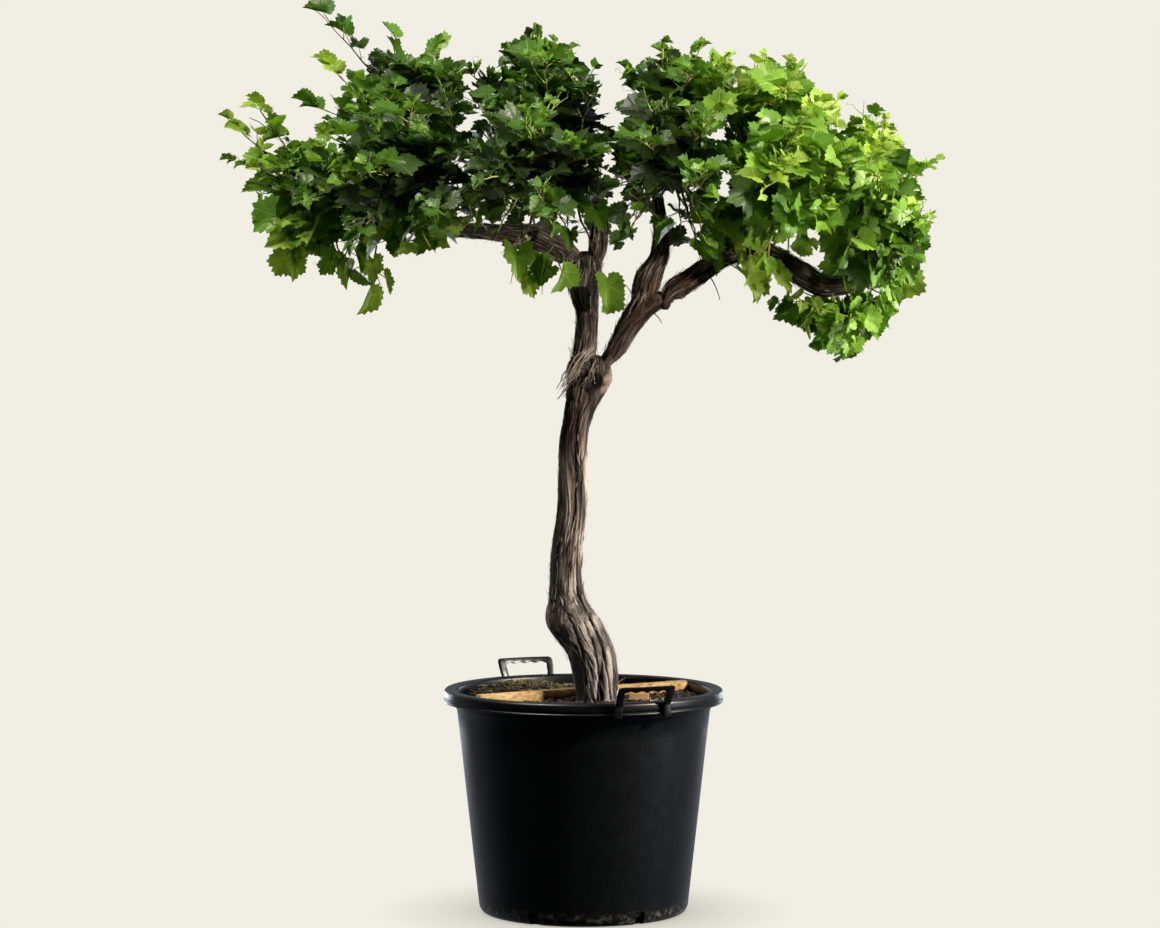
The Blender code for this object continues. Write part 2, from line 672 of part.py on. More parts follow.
def leaf(root, along, face, length):
    """A thick leaf: an outline with a raised middle, whose stalk starts at its root."""
    across = along.cross(face).normalized()
    up = across.cross(along).normalized()
    start = root - along * (LEAF_OUTLINE[0][1] * length)
    form = bmesh.new()
    rim = [form.verts.new(start + across * (x * length) + along * (y * length)) for x, y in LEAF_OUTLINE]
    middle = start + along * (LEAF_MIDDLE * length)
    over = form.verts.new(middle + up * (LEAF_CUP * length))
    under = form.verts.new(middle + up * ((LEAF_CUP - LEAF_THICK) * length))
    for first, second in zip(rim, rim[1:] + rim[:1]):
        form.faces.new((first, second, over))
        form.faces.new((second, first, under))
    bmesh.ops.recalc_face_normals(form, faces=form.faces[:])
    return form


class Grown:
    """What stands in the crown so far, to keep new growth clear of it."""

    def __init__(self):
        self.pieces = []

    def add(self, form, tag):
        tree = BVHTree.FromBMesh(form)
        centre = sum((point.co for point in form.verts), Vector()) / len(form.verts)
        radius = max((point.co - centre).length for point in form.verts)
        self.pieces.append((tag, tree, centre, radius))

    def touches(self, form, but=()):
        tree = BVHTree.FromBMesh(form)
        centre = sum((point.co for point in form.verts), Vector()) / len(form.verts)
        radius = max((point.co - centre).length for point in form.verts)
        for tag, other, middle, reach in self.pieces:
            if tag in but or (middle - centre).length > radius + reach:
                continue
            if tree.overlap(other):
                return True
        return False


def nearness(name, point):
    """How far out a point is in a mass's space: 0 at its middle, 1 at its reach."""
    middle, reach = FOLIAGE[name][3], FOLIAGE[name][4]
    return math.sqrt(sum(((p - m) / r) ** 2 for p, m, r in zip(point, middle, reach)))


def owner(point):
    return min(FOLIAGE, key=lambda name: nearness(name, point))


def inside(low, point, high):
    return all(a < p < b for a, p, b in zip(low, point, high))


def in_clearing(point):
    return any(inside(low, point, high) for low, high in CLEARINGS)


def along_edge(edge, x):
    """The height of the crown's edge above a place."""
    for first, second in zip(edge, edge[1:]):
        if first[0] <= x <= second[0]:
            return first[1] + (second[1] - first[1]) * (x - first[0]) / (second[0] - first[0])
    return edge[0][1] if x < edge[0][0] else edge[-1][1]


def in_outline(point):
    """Whether a point shows inside the crown's edge from the front."""
    share = VIEW_PLACE[1] / (VIEW_PLACE[1] - point.y)
    x = VIEW_PLACE[0] + (point.x - VIEW_PLACE[0]) * share
    z = VIEW_PLACE[2] + (point.z - VIEW_PLACE[2]) * share
    return along_edge(CROWN_FOOT, x) - EDGE_SLACK < z < along_edge(CROWN_TOP, x) + EDGE_SLACK


def keeps_to(name, form, leads, free):
    """Whether a leaf stays in its mass's space, in the crown's outline and out of the clearings."""
    for point in form.verts:
        if in_clearing(point.co) or not inside(CROWN_LOW, point.co, CROWN_HIGH):
            return False
        if not free and not in_outline(point.co):
            return False
    middle = sum((point.co for point in form.verts), Vector()) / len(form.verts)
    return owner(middle) == name and (leads or nearness(name, middle) < SPACE_SLACK)


def away_from_crown(point):
    """The direction that faces out of the crown at a point."""
    offset = point - CROWN_MIDDLE
    return Vector([o / (r * r) for o, r in zip(offset, CROWN_REACH)]).normalized()


def even_direction(index, count, spin):
    """One of a number of directions spread evenly over a ball."""
    height = 1.0 - 2.0 * (index + 0.5) / count
    level = math.sqrt(1.0 - height * height)
    angle = spin + index * math.pi * (3.0 - math.sqrt(5.0))
    return Vector((level * math.cos(angle), level * math.sin(angle), height))


def foot_of(limb_tree, spot, lean):
    """Where a stem starts on a limb: just clear of the bark, and the way the bark faces there."""
    origin = spot + lean * 0.2
    hit, normal, _, _ = limb_tree.ray_cast(origin, -lean)
    return hit + normal * GAP, normal


def leaves_on(name, points, rng, grown, tag, leads):
    """Leaves that alternate along a shoot, from its tip back."""
    made = []
    total = line_length(points)
    side_sign = rng.choice((-1.0, 1.0))
    at = total - TIP_SETBACK
    free = leads and not in_outline(points[-1])
    hangs = leads and points[-1].z < points[0].z
    while at > FIRST_LEAF:
        place, along = at_length(points, at)
        out = away_from_crown(place)
        side = along.cross(Vector((0, 0, 1)))
        if side.length < 0.2:
            side = along.cross(Vector((1, 0, 0)))
        side.normalize()
        is_tip = at > total - LEAF_SPACING / 2
        grown_share = min((total - at) / (LEADING_TIP_ZONE if leads else TIP_ZONE), 1.0)
        smallest = TIP_LEAF if hangs or not leads else LEADING_TIP_LEAF
        for attempt in range(LEAF_TRIES):
            shake = Vector([rng.uniform(-1, 1) for _ in range(3)]) * (LEAF_CHANCE[0] + LEAF_CHANCE[1] * attempt)
            heading = side * side_sign * LEAF_SIDEWAYS + out * LEAF_OUTWARD + shake
            heading.z -= LEAF_DROOP
            if is_tip:
                heading = along + shake * 0.5
            heading.normalize()
            front = math.copysign(FACE_FRONT, place.y - FRONT_AND_BACK_MEET)
            face = out * FACE_OUT + Vector((0, front, FACE_UP)) + shake
            size = (smallest + (1.0 - smallest) * grown_share) * (1.0 - LEAF_RETRY_SHRINK * attempt)
            root = place - heading * LEAF_ROOT_SINK
            form = leaf(root, heading, face, rng.uniform(*LEAF_LENGTHS) * size)
            if keeps_to(name, form, leads, free) and not grown.touches(form, but=(tag,)):
                grown.add(form, tag + "_leaf")
                made.append(form)
                break
            form.free()
        side_sign = -side_sign
        at -= LEAF_SPACING * rng.uniform(0.9, 1.1)
    return made


def stem_of(name, limb_trees, grown):
    """The line and the form of a mass's stem, from its foot on a limb to the middle of its space."""
    limb_name, spot, lean, middle = FOLIAGE[name][:4]
    lean = Vector(lean).normalized()
    foot, foot_normal = foot_of(limb_trees[limb_name], Vector(spot), lean)
    line = bowed(foot, lean, Vector(middle), STEM_SPANS)
    form = twig(line, STEM_RADII, foot_normal)
    grown.add(form, name)
    return line, form


def mass(name, stem_line, stem, grown, group):
    """One mass of foliage, joined into one body."""
    middle, reach, shoot_count, lead_tips = FOLIAGE[name][3:]
    middle = Vector(middle)
    rng = random.Random(name + GROWTH_SEED)
    parts = []
    spin = rng.uniform(0.0, math.tau)
    tips = [(Vector(tip), True) for tip in lead_tips]
    for index in range(shoot_count):
        way = even_direction(index, shoot_count, spin)
        tips.append((middle + Vector([w * r for w, r in zip(way, reach)]), False))
    stem_length = line_length(stem_line)
    for number, (tip, leads) in enumerate(tips):
        for attempt in range(SHOOT_TRIES):
            end = tip if leads else middle.lerp(tip, SHOOT_REACH - SHOOT_RETRY_SHORTER * attempt)
            start, stem_way = at_length(stem_line, stem_length * rng.uniform(*SHOOT_PLACES))
            rise = LEADING_RISE if leads else SHOOT_RISE
            shoot_lean = (stem_way * rise + (end - start).normalized() + Vector((0, 0, rise))).normalized()
            line = bowed(start, shoot_lean, end, SHOOT_SPANS)
            form = twig(line, SHOOT_RADII)
            tag = f"{name}_{number}"
            ends_well = leads or (owner(end) == name and not in_clearing(end))
            if ends_well and not grown.touches(form, but=(name,)):
                grown.add(form, tag)
                parts.append(form)
                parts += leaves_on(name, line, rng, grown, tag, leads)
                break
            form.free()
    return join(name, stem, parts, group)


def drop_scraps(piece):
    """Keep the largest of the piece's loose bodies."""
    form = bmesh.new()
    form.from_mesh(piece.data)
    left = set(form.faces)
    bodies = []
    while left:
        body = [left.pop()]
        for face in body:
            for edge in face.edges:
                beside = [other for other in edge.link_faces if other in left]
                left.difference_update(beside)
                body += beside
        bodies.append(body)
    bodies.sort(key=len)
    for body in bodies[:-1]:
        bmesh.ops.delete(form, geom=body, context="FACES")
    form.to_mesh(piece.data)
    form.free()


def join(name, stem, parts, group):
    """The stem with its shoots and leaves joined on, as one object."""
    made = mesh_object(name, stem, group, "leaf")
    extras = new_collection(name + "_parts")
    for number, form in enumerate(parts):
        mesh_object(f"{name}_part_{number}", form, extras, "leaf")
    union = made.modifiers.new("join", "BOOLEAN")
    union.operation = "UNION"
    union.operand_type = "COLLECTION"
    union.collection = extras
    union.solver = "MANIFOLD"
    joined = applied(made, weld=False)
    drop_scraps(joined)
    for extra in list(extras.objects):
        bpy.data.objects.remove(extra, do_unlink=True)
    bpy.data.collections.remove(extras)
    return joined


def main():
    clear_scene()
    group = new_collection("potted_grapevine")
    cutters = new_collection("cutters")
    pot(group, cutters)
    soil(group)
    handle("handle_front", HANDLE_BEARING_DEG, group)
    handle("handle_back", HANDLE_BEARING_DEG + 180.0, group)
    timber("plank", PLANK_SIZE, PLANK_PLACE, PLANK_TURN_DEG, group)
    timber("offcut", OFFCUT_SIZE, OFFCUT_PLACE, OFFCUT_TURN_DEG, group)
    grown = Grown()
    limb_trees = {}
    for name, rows in LIMBS.items():
        made = limb(name, rows, group)
        form = bmesh.new()
        form.from_mesh(made.data)
        limb_trees[name] = BVHTree.FromBMesh(form)
        grown.add(form, name)
        form.free()
    stems = {name: stem_of(name, limb_trees, grown) for name in FOLIAGE}
    for name, (line, form) in stems.items():
        mass(name, line, form, grown, group)


main()
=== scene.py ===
"""Looks of the potted grapevine: furrowed old wood, a wide head of fresh leaves, and a black moulded pot.

Metres, +Z up, in the same frame as the solids. The limbs and the growth rule repeat the source's named sizes, and
are carried to finer bark, shoots, stalks and leaves within the same reach.
"""

import math
import random

import bmesh
import bpy
import numpy as np
from mathutils import Matrix, Vector, noise
from mathutils.bvhtree import BVHTree


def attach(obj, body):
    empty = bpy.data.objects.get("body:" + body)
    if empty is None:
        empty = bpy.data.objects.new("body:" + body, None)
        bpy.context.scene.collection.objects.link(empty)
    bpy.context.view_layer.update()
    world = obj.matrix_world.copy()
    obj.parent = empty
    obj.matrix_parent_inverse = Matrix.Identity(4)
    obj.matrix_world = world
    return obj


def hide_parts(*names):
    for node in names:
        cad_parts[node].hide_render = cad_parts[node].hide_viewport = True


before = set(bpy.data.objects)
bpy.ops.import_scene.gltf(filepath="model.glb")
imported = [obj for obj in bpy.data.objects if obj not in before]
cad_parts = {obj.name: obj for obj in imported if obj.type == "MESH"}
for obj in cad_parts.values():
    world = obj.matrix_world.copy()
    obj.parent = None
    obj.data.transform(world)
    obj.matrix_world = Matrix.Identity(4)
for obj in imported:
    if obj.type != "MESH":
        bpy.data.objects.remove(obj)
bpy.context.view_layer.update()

GAP = 0.0003

# The camera stands 7.2 m in front of the pot's axis at the height of the photograph's horizon.
PHOTO_WIDTH_PX = 1160
PHOTO_FOCAL_PX = 3672.0
SENSOR_MM = 36.0
CAMERA_PLACE = (-0.0070, -7.2, 1.240)
CAMERA_DIP_DEG = 2.85

# Pot: a round container with a straight taper and a rim that is turned down.
POT_HEIGHT = 0.440
POT_RIM_RADIUS = 0.275
POT_COLLAR_RADIUS = 0.2525
POT_WALL_RADIUS = 0.2490
POT_FOOT_RADIUS = 0.2070
POT_UNDERSIDE_RADIUS = 0.194
POT_WALL = 0.004
POT_FLOOR = 0.005
POT_CORNER = 0.022
RIM_SKIRT = 0.025
RIM_ROUND = 0.007
COLLAR_BOTTOM = 0.400
POT_TURNS = 192

NOTCH_COUNT = 6
NOTCH_FIRST_DEG = -118.0
NOTCH_WIDTH = 0.020
NOTCH_HEIGHT = 0.028
NOTCH_DEPTH = 0.050

HANDLE_BEARING_DEG = -66.0
HANDLE_SPAN = 0.112
HANDLE_GRIP = 0.086
HANDLE_FOOT_FLARE = 0.004
HANDLE_TOP = 0.4725
HANDLE_BOTTOM = 0.411
HANDLE_BAR = 0.0085
HANDLE_THICK = 0.009
HANDLE_BEND = 0.434
HANDLE_LEAN_DEG = 28.0
SCALLOPS = 4
SCALLOP_DEPTH = 0.0030

SOIL_LEVEL = 0.418
SOIL_HEAPS = ((-0.125, 0.135, 0.115, 0.017), (0.150, -0.115, 0.065, 0.006), (0.030, 0.185, 0.075, 0.008))

PLANK_SIZE = (0.484, 0.017, 0.022)
PLANK_PLACE = (0.0, 0.008)
PLANK_TURN_DEG = 32.7
OFFCUT_SIZE = (0.040, 0.012, 0.0185)
OFFCUT_PLACE = (0.108, -0.030)
OFFCUT_TURN_DEG = 4.0

MULCH_CHIPS = 2600
STRAW_STALKS = 170
MOSS_THREADS = 1100

# Limbs. A row is (x, y, z, half width, half depth, square): square is 0 where the section is level and 1 where
# it is square to the limb.
TRUNK_FOOT = SOIL_LEVEL + GAP
FORK = 1.075
LEFT_FORK = 1.277
RIGHT_FORK = 1.200
LIMBS = {
    "trunk": (
        (0.028, -0.050, TRUNK_FOOT, 0.045, 0.040, 0),
        (0.025, -0.049, 0.440, 0.043, 0.040, 0),
        (0.014, -0.045, 0.508, 0.049, 0.044, 0),
        (-0.015, -0.038, 0.564, 0.055, 0.045, 0),
        (-0.033, -0.032, 0.627, 0.035, 0.036, 0),
        (-0.033, -0.026, 0.715, 0.030, 0.031, 0),
        (-0.022, -0.018, 0.800, 0.029, 0.029, 0),
        (-0.020, -0.012, 0.920, 0.028, 0.028, 0),
        (-0.008, -0.007, 0.980, 0.030, 0.029, 0),
        (0.011, -0.003, 1.040, 0.042, 0.033, 0),
        (0.012, 0.000, FORK, 0.043, 0.030, 0),
    ),
    "left_stem": (
        (-0.006, 0.000, FORK + GAP, 0.024, 0.025, 0),
        (0.000, 0.000, 1.101, 0.024, 0.024, 0),
        (0.006, -0.002, 1.170, 0.022, 0.023, 0),
        (-0.001, -0.004, 1.226, 0.030, 0.026, 0),
        (0.004, -0.006, LEFT_FORK, 0.033, 0.027, 0),
    ),
    "left_bough": (
        (-0.013, -0.006, LEFT_FORK + GAP, 0.015, 0.022, 0),
        (-0.034, -0.010, 1.2935, 0.0235, 0.023, 1),
        (-0.054, -0.014, 1.3050, 0.0235, 0.023, 1),
        (-0.098, -0.022, 1.3270, 0.0240, 0.022, 1),
        (-0.135, -0.027, 1.3310, 0.0185, 0.018, 1),
        (-0.220, -0.030, 1.3380, 0.0150, 0.016, 1),
        (-0.340, -0.025, 1.3450, 0.0120, 0.012, 1),
    ),
    "left_head": (
        (0.0215, -0.006, LEFT_FORK + GAP, 0.0155, 0.020, 0),
        (0.0270, -0.003, 1.3100, 0.0190, 0.020, 1),
        (0.0300, 0.002, 1.3500, 0.0180, 0.018, 1),
        (0.0260, 0.006, 1.3850, 0.0130, 0.013, 1),
    ),
    "right_stem": (
        (0.0370, 0.000, FORK + GAP, 0.0165, 0.020, 0),
        (0.0600, 0.000, 1.101, 0.0215, 0.021, 0),
        (0.0790, -0.002, 1.136, 0.0245, 0.023, 0),
        (0.1005, -0.004, 1.171, 0.0300, 0.024, 0),
        (0.1180, -0.006, 1.189, 0.0380, 0.024, 0),
        (0.1320, -0.008, RIGHT_FORK, 0.0430, 0.024, 0),
    ),
    "upright_bough": (
        (0.1150, -0.008, RIGHT_FORK + GAP, 0.0250, 0.023, 0),
        (0.1205, -0.006, 1.2260, 0.0270, 0.024, 0),
        (0.1300, 0.000, 1.2590, 0.0270, 0.024, 0),
        (0.1485, 0.006, 1.2960, 0.0190, 0.019, 0),
        (0.1500, 0.010, 1.3450, 0.0150, 0.015, 1),
        (0.1440, 0.012, 1.4150, 0.0110, 0.011, 1),
    ),
    "right_bough": (
        (0.1595, -0.010, RIGHT_FORK + GAP, 0.0125, 0.020, 0),
        (0.1740, -0.014, 1.2210, 0.0215, 0.022, 1),
        (0.1960, -0.019, 1.2370, 0.0220, 0.022, 1),
        (0.2170, -0.024, 1.2500, 0.0215, 0.021, 1),
        (0.2600, -0.032, 1.2800, 0.0200, 0.020, 1),
        (0.3100, -0.040, 1.3020, 0.0200, 0.020, 1),
    ),
    "right_bough_end": (
        (0.3100 + GAP, -0.040, 1.3020, 0.0200, 0.020, 1),
        (0.3450, -0.046, 1.3000, 0.0200, 0.020, 1),
        (0.3790, -0.052, 1.2840, 0.0210, 0.021, 1),
        (0.4260, -0.060, 1.2530, 0.0240, 0.022, 1),
        (0.4700, -0.066, 1.2310, 0.0215, 0.021, 1),
        (0.5350, -0.072, 1.2340, 0.0140, 0.014, 1),
    ),
}
BEND_FACE = Vector((0.992, -0.124, 0.0))
BEND_ENDS = {"right_bough": -1, "right_bough_end": 0}
FURROWS = 3
FURROW_DEPTH = 0.045
FURROW_TURN = 5.0
BARK_SIDES = 180
BOUGH_SIDES = 132
BARK_STEP = 0.0030
BARK_RELIEF = 0.0062
# The relief value that lies on the solid's own surface.
BARK_MIDDLE = 0.82
# How far a limb's bark runs on inside the limb below it, and how much narrower it ends there.
BARK_OVERRUN = 0.016
BARK_TUCK = 0.50
# How far the rounded top of a forked limb stands up between its stems.
BARK_SHOULDER = 0.022
TUCK_RINGS = 6
SCAR_PLACE = (-0.108, -0.046, 1.331)
SCAR_WAY = (0.10, -1.0, 0.10)

# The whole crown as one rounded form, which leaves face away from, and the box that no leaf leaves.
CROWN_MIDDLE = Vector((0.0, 0.0, 1.33))
CROWN_REACH = Vector((0.70, 0.42, 0.36))
CROWN_LOW = (-0.711, -0.440, 1.072)
CROWN_HIGH = (0.704, 0.430, 1.785)
# The crown's edge from the front, brought to the plane of the trunk: (x, z) along its top and along its foot.
CROWN_TOP = (
    (-0.71, 1.59), (-0.55, 1.54), (-0.48, 1.62), (-0.41, 1.685), (-0.20, 1.68), (-0.09, 1.74), (0.05, 1.67),
    (0.17, 1.71), (0.38, 1.69), (0.61, 1.56), (0.64, 1.49), (0.70, 1.48),
)
CROWN_FOOT = (
    (-0.71, 1.45), (-0.63, 1.32), (-0.47, 1.225), (-0.38, 1.235), (-0.34, 1.29), (-0.19, 1.32), (-0.16, 1.22),
    (-0.09, 1.21), (0.05, 1.22), (0.07, 1.29), (0.23, 1.25), (0.34, 1.21), (0.37, 1.13), (0.49, 1.075),
    (0.62, 1.16), (0.67, 1.26), (0.70, 1.40),
)
# How far from a mass's middle its leaves may stand, as a share of its reach.
MASS_EDGE = 1.07
# How far the leaves of a shoot stay back from that edge, or stand out over it: from, to.
EDGE_PLAY = (-0.045, 0.020)

# Masses of foliage: limb, spot on it, the way the stem leaves it, middle and reach of the space, number of shoots in
# the solids, and tips of leading or hanging shoots.
FOLIAGE = {
    "foliage_far_left": (
        "left_bough", (-0.335, -0.025, 1.345), (-1.0, 0.0, 0.1), (-0.530, -0.03, 1.390), (0.150, 0.27, 0.155), 5,
        (
            (-0.628, -0.06, 1.570), (-0.682, -0.05, 1.545), (-0.684, -0.04, 1.475), (-0.395, -0.10, 1.232),
            (-0.445, -0.11, 1.238), (-0.505, -0.09, 1.272), (-0.562, -0.08, 1.282),
        ),
    ),
    "foliage_left_front": (
        "left_bough", (-0.325, -0.025, 1.344), (-0.3, -0.8, 0.5), (-0.350, -0.22, 1.440), (0.180, 0.20, 0.180), 5,
        ((-0.258, -0.10, 1.335), (-0.320, -0.11, 1.315)),
    ),
    "foliage_left_back": (
        "left_bough", (-0.315, -0.025, 1.343), (-0.3, 0.8, 0.5), (-0.350, 0.20, 1.440), (0.180, 0.21, 0.190), 4, (),
    ),
    "foliage_left_top": (
        "left_bough", (-0.305, -0.025, 1.342), (-0.1, 0.1, 1.0), (-0.350, -0.01, 1.585), (0.200, 0.27, 0.140), 5,
        ((-0.507, -0.05, 1.752), (-0.370, -0.04, 1.692), (-0.525, -0.03, 1.580), (-0.290, -0.02, 1.690)),
    ),
    "foliage_middle_front": (
        "left_head", (0.027, 0.004, 1.375), (-0.5, -0.8, 0.3), (-0.120, -0.21, 1.450), (0.185, 0.21, 0.180), 5,
        (
            (-0.082, -0.12, 1.215), (0.050, -0.11, 1.220), (-0.142, -0.11, 1.235), (-0.045, -0.12, 1.262),
            (-0.190, -0.10, 1.338),
        ),
    ),
    "foliage_middle_back": (
        "left_head", (0.027, 0.005, 1.375), (-0.5, 0.8, 0.3), (-0.120, 0.20, 1.450), (0.185, 0.21, 0.185), 4, (),
    ),
    "foliage_middle_top": (
        "left_head", (0.026, 0.005, 1.380), (-0.2, 0.0, 1.0), (-0.110, 0.00, 1.600), (0.180, 0.27, 0.135), 5,
        ((-0.095, -0.02, 1.725), (0.020, -0.04, 1.655), (-0.030, 0.02, 1.690)),
    ),
    "foliage_inner_front": (
        "upright_bough", (0.145, 0.011, 1.400), (0.2, -0.9, 0.3), (0.175, -0.20, 1.450), (0.155, 0.20, 0.180), 4,
        (
            (0.085, -0.09, 1.335), (0.060, -0.11, 1.420), (0.190, -0.08, 1.312), (0.225, -0.09, 1.280),
            (0.050, -0.09, 1.520),
        ),
    ),
    "foliage_inner_back": (
        "upright_bough", (0.145, 0.012, 1.400), (0.2, 0.9, 0.3), (0.175, 0.20, 1.450), (0.155, 0.21, 0.180), 4, (),
    ),
    "foliage_inner_top": (
        "upright_bough", (0.144, 0.012, 1.408), (0.1, 0.0, 1.0), (0.190, 0.00, 1.595), (0.140, 0.27, 0.120), 4,
        ((0.155, -0.02, 1.690), (0.225, 0.02, 1.690), (0.085, -0.04, 1.640)),
    ),
    "foliage_right_front": (
        "right_bough", (0.298, -0.038, 1.298), (0.1, -0.6, 0.8), (0.395, -0.22, 1.430), (0.170, 0.20, 0.185), 5,
        ((0.265, -0.12, 1.275), (0.315, -0.12, 1.255), (0.345, -0.12, 1.262), (0.250, -0.11, 1.315)),
    ),
    "foliage_right_back": (
        "right_bough", (0.290, -0.037, 1.296), (0.1, 0.7, 0.7), (0.400, 0.19, 1.430), (0.170, 0.21, 0.190), 4, (),
    ),
    "foliage_right_top": (
        "right_bough", (0.275, -0.035, 1.290), (0.0, 0.1, 1.0), (0.385, -0.01, 1.585), (0.165, 0.26, 0.115), 5, (),
    ),
    "foliage_outer_front": (
        "right_bough_end", (0.530, -0.072, 1.234), (0.6, -0.5, 0.6), (0.570, -0.19, 1.360), (0.115, 0.20, 0.190), 5,
        ((0.635, -0.09, 1.400), (0.635, -0.10, 1.250), (0.655, -0.08, 1.305)),
    ),
    "foliage_outer_back": (
        "right_bough_end", (0.520, -0.070, 1.234), (0.3, 0.8, 0.5), (0.570, 0.14, 1.390), (0.120, 0.22, 0.200), 5,
        ((0.682, -0.02, 1.472), (0.545, -0.01, 1.592), (0.585, -0.04, 1.545)),
    ),
    "foliage_low_right": (
        "right_bough_end", (0.520, -0.071, 1.232), (0.2, -0.3, -0.9), (0.510, -0.09, 1.165), (0.140, 0.17, 0.085), 7,
        ((0.385, -0.10, 1.195), (0.480, -0.12, 1.120), (0.580, -0.11, 1.165), (0.535, -0.05, 1.125)),
    ),
}
# Tips that close the seams between the masses.
MORE_TIPS = {
    "foliage_far_left": (
        (-0.475, -0.14, 1.262), (-0.535, -0.11, 1.300), (-0.595, -0.07, 1.318), (-0.425, -0.07, 1.268),
    ),
    "foliage_left_top": (
        (-0.250, -0.08, 1.645), (-0.215, -0.16, 1.570), (-0.240, 0.05, 1.610), (-0.488, -0.06, 1.648),
    ),
    "foliage_middle_top": (
        (-0.240, -0.05, 1.655), (-0.230, -0.18, 1.590), (-0.250, 0.10, 1.600), (-0.150, -0.05, 1.688),
    ),
    "foliage_left_front": (
        (-0.225, -0.24, 1.500), (-0.240, -0.16, 1.400), (-0.292, -0.12, 1.322), (-0.355, -0.10, 1.296),
        (-0.225, -0.13, 1.345),
    ),
    "foliage_middle_front": (
        (-0.255, -0.22, 1.460), (-0.235, -0.12, 1.345), (-0.035, -0.07, 1.325), (0.030, -0.07, 1.335),
        (-0.055, -0.08, 1.365), (0.000, -0.08, 1.380),
    ),
    "foliage_inner_top": ((0.285, -0.06, 1.640),),
    "foliage_right_top": ((0.300, -0.12, 1.600),),
}
CLEARINGS = (
    ((0.034, -0.60, 1.575), (0.064, 0.60, 1.690)),
    ((-0.085, -0.60, 1.590), (-0.050, 0.60, 1.625)),
    ((-0.160, -0.60, 1.288), (-0.070, -0.02, 1.360)),
    ((0.385, -0.60, 1.232), (0.520, -0.05, 1.292)),
    ((-0.040, -0.60, 1.000), (0.000, 0.60, 1.285)),
    ((0.080, -0.60, 1.000), (0.160, 0.60, 1.285)),
    ((0.658, -0.60, 1.335), (0.720, 0.60, 1.445)),
)

# Growth in the scene: finer and fuller than in the solids.
SHOOTS_PER_SOLID_SHOOT = 2.6
SHOOT_TRIES = 8
SHOOT_SPANS = 7
STEM_SPANS = 8
STEM_RADII = (0.0060, 0.0040)
SHOOT_RADII = (0.0028, 0.0013)
LEAD_TIP_RADIUS = 0.0006
LATERALS = 2
LATERAL_LENGTHS = (0.05, 0.12)
LEAF_SPACING = 0.028
FIRST_LEAF = 0.012
# A leaf's length from the end of its stalk: least, most and usual.
LEAF_LENGTHS = (0.030, 0.071, 0.048)
STALK_SHARE = (0.55, 1.05)
STALK_RADIUS = 0.0012
LEAF_TRIES = 5
CLOSEST_LEAVES = 0.019
CROWD_CELL = 0.02
LIMB_CLEARANCE = 0.010
# Leaves hang more the lower they are, below this height and over this range.
HANG_BELOW = 1.42
HANG_RANGE = 0.16
# How much larger the leaves of hanging shoots are, how much lighter their green is painted for the sun that shines
# through them, and how much of such a shoot's end bears them.
HANGING_SWELL = 0.18
HANGING_PAINTED_LIGHT = 0.56
HANGING_LEAFY = 0.056
SUNWARD = Vector((0.62, -0.25, 0.74))

# Leaf outline: for each step from the tip round to the stalk, the distance from the end of the stalk. Lobes and bays
# take turns. A leaf's own outline lies between the lobed and the round one.
LOBES = (0.95, 0.66, 0.86, 0.58, 0.74, 0.60, 0.46)
ROUND_LOBES = (0.90, 0.80, 0.86, 0.76, 0.76, 0.67, 0.50)
LOBE_STEP_DEG = 27.0
RIM_STEP_DEG = 9.0
RIM_HALF = 18
LEAF_FOOT = 0.04
TOOTH = 0.065

# Dead canes on the old wood: start, end and thickness.
DRY_TWIGS = (
    ((0.245, -0.045, 1.250), (0.264, -0.085, 1.203), 0.0014),
    ((0.137, -0.030, 1.178), (0.152, -0.065, 1.158), 0.0012),
    ((0.098, -0.020, 1.206), (0.082, -0.035, 1.233), 0.0013),
    ((0.525, -0.075, 1.236), (0.580, -0.110, 1.212), 0.0022),
    ((-0.020, -0.030, 1.095), (-0.030, -0.045, 1.112), 0.0012),
    ((0.030, -0.032, 1.010), (0.044, -0.050, 1.028), 0.0010),
)

# Greens from shade to sun: lit and shaded copies of one leaf, with the light painted into the colour, dealt out by
# spray, and how far along them the crown is from left to right, as painted light and shade.
GREENS = {
    "deep": "#2a3b1b",
    "shade": "#3b5422",
    "summer": "#4a6f24",
    "fresh": "#5f8a2a",
    "sunlit": "#7aa236",
    "young": "#9cb84a",
}
SUN_ACROSS = ((-0.60, 0.42), (-0.40, 0.20), (-0.10, 0.05), (0.18, 0.03), (0.32, 0.50), (0.45, 0.55), (0.60, 0.40))
YOUNG_SHARE = 0.34

CREAM = "#f1eee3"
# The room's own light, from the camera's side and from behind the plant.
ROOM_LIGHT = (0.02, 0.40)


def linear(hex_colour):
    """A linear colour from an sRGB hex value."""
    parts = [int(hex_colour[i : i + 2], 16) / 255.0 for i in (1, 3, 5)]
    return tuple([p / 12.92 if p <= 0.04045 else ((p + 0.055) / 1.055) ** 2.4 for p in parts] + [1.0])


def add(tree, kind, settings=None, inputs=None, stops=None):
    """A node with its settings, its inputs (values or links) and, on a ramp, its stops."""
    made = tree.nodes.new(kind)
    for key, value in (settings or {}).items():
        setattr(made, key, value)
    for key, value in (inputs or {}).items():
        if isinstance(value, bpy.types.NodeSocket):
            tree.links.new(value, made.inputs[key])
        else:
            made.inputs[key].default_value = value
    if stops:
        ramp = made.color_ramp
        while len(ramp.elements) < len(stops):
            ramp.elements.new(0.5)
        for element, (place, colour) in zip(ramp.elements, stops):
            element.position = place
            element.color = linear(colour) if isinstance(colour, str) else (colour, colour, colour, 1.0)
    return made


def material(name):
    """An empty material: its tree, its Principled shader and its Object coordinates."""
    made = bpy.data.materials.new(name)
    made.use_nodes = True
    tree = made.node_tree
    shader = tree.nodes["Principled BSDF"]
    place = tree.nodes.new("ShaderNodeTexCoord").outputs["Object"]
    return made, tree, shader, place


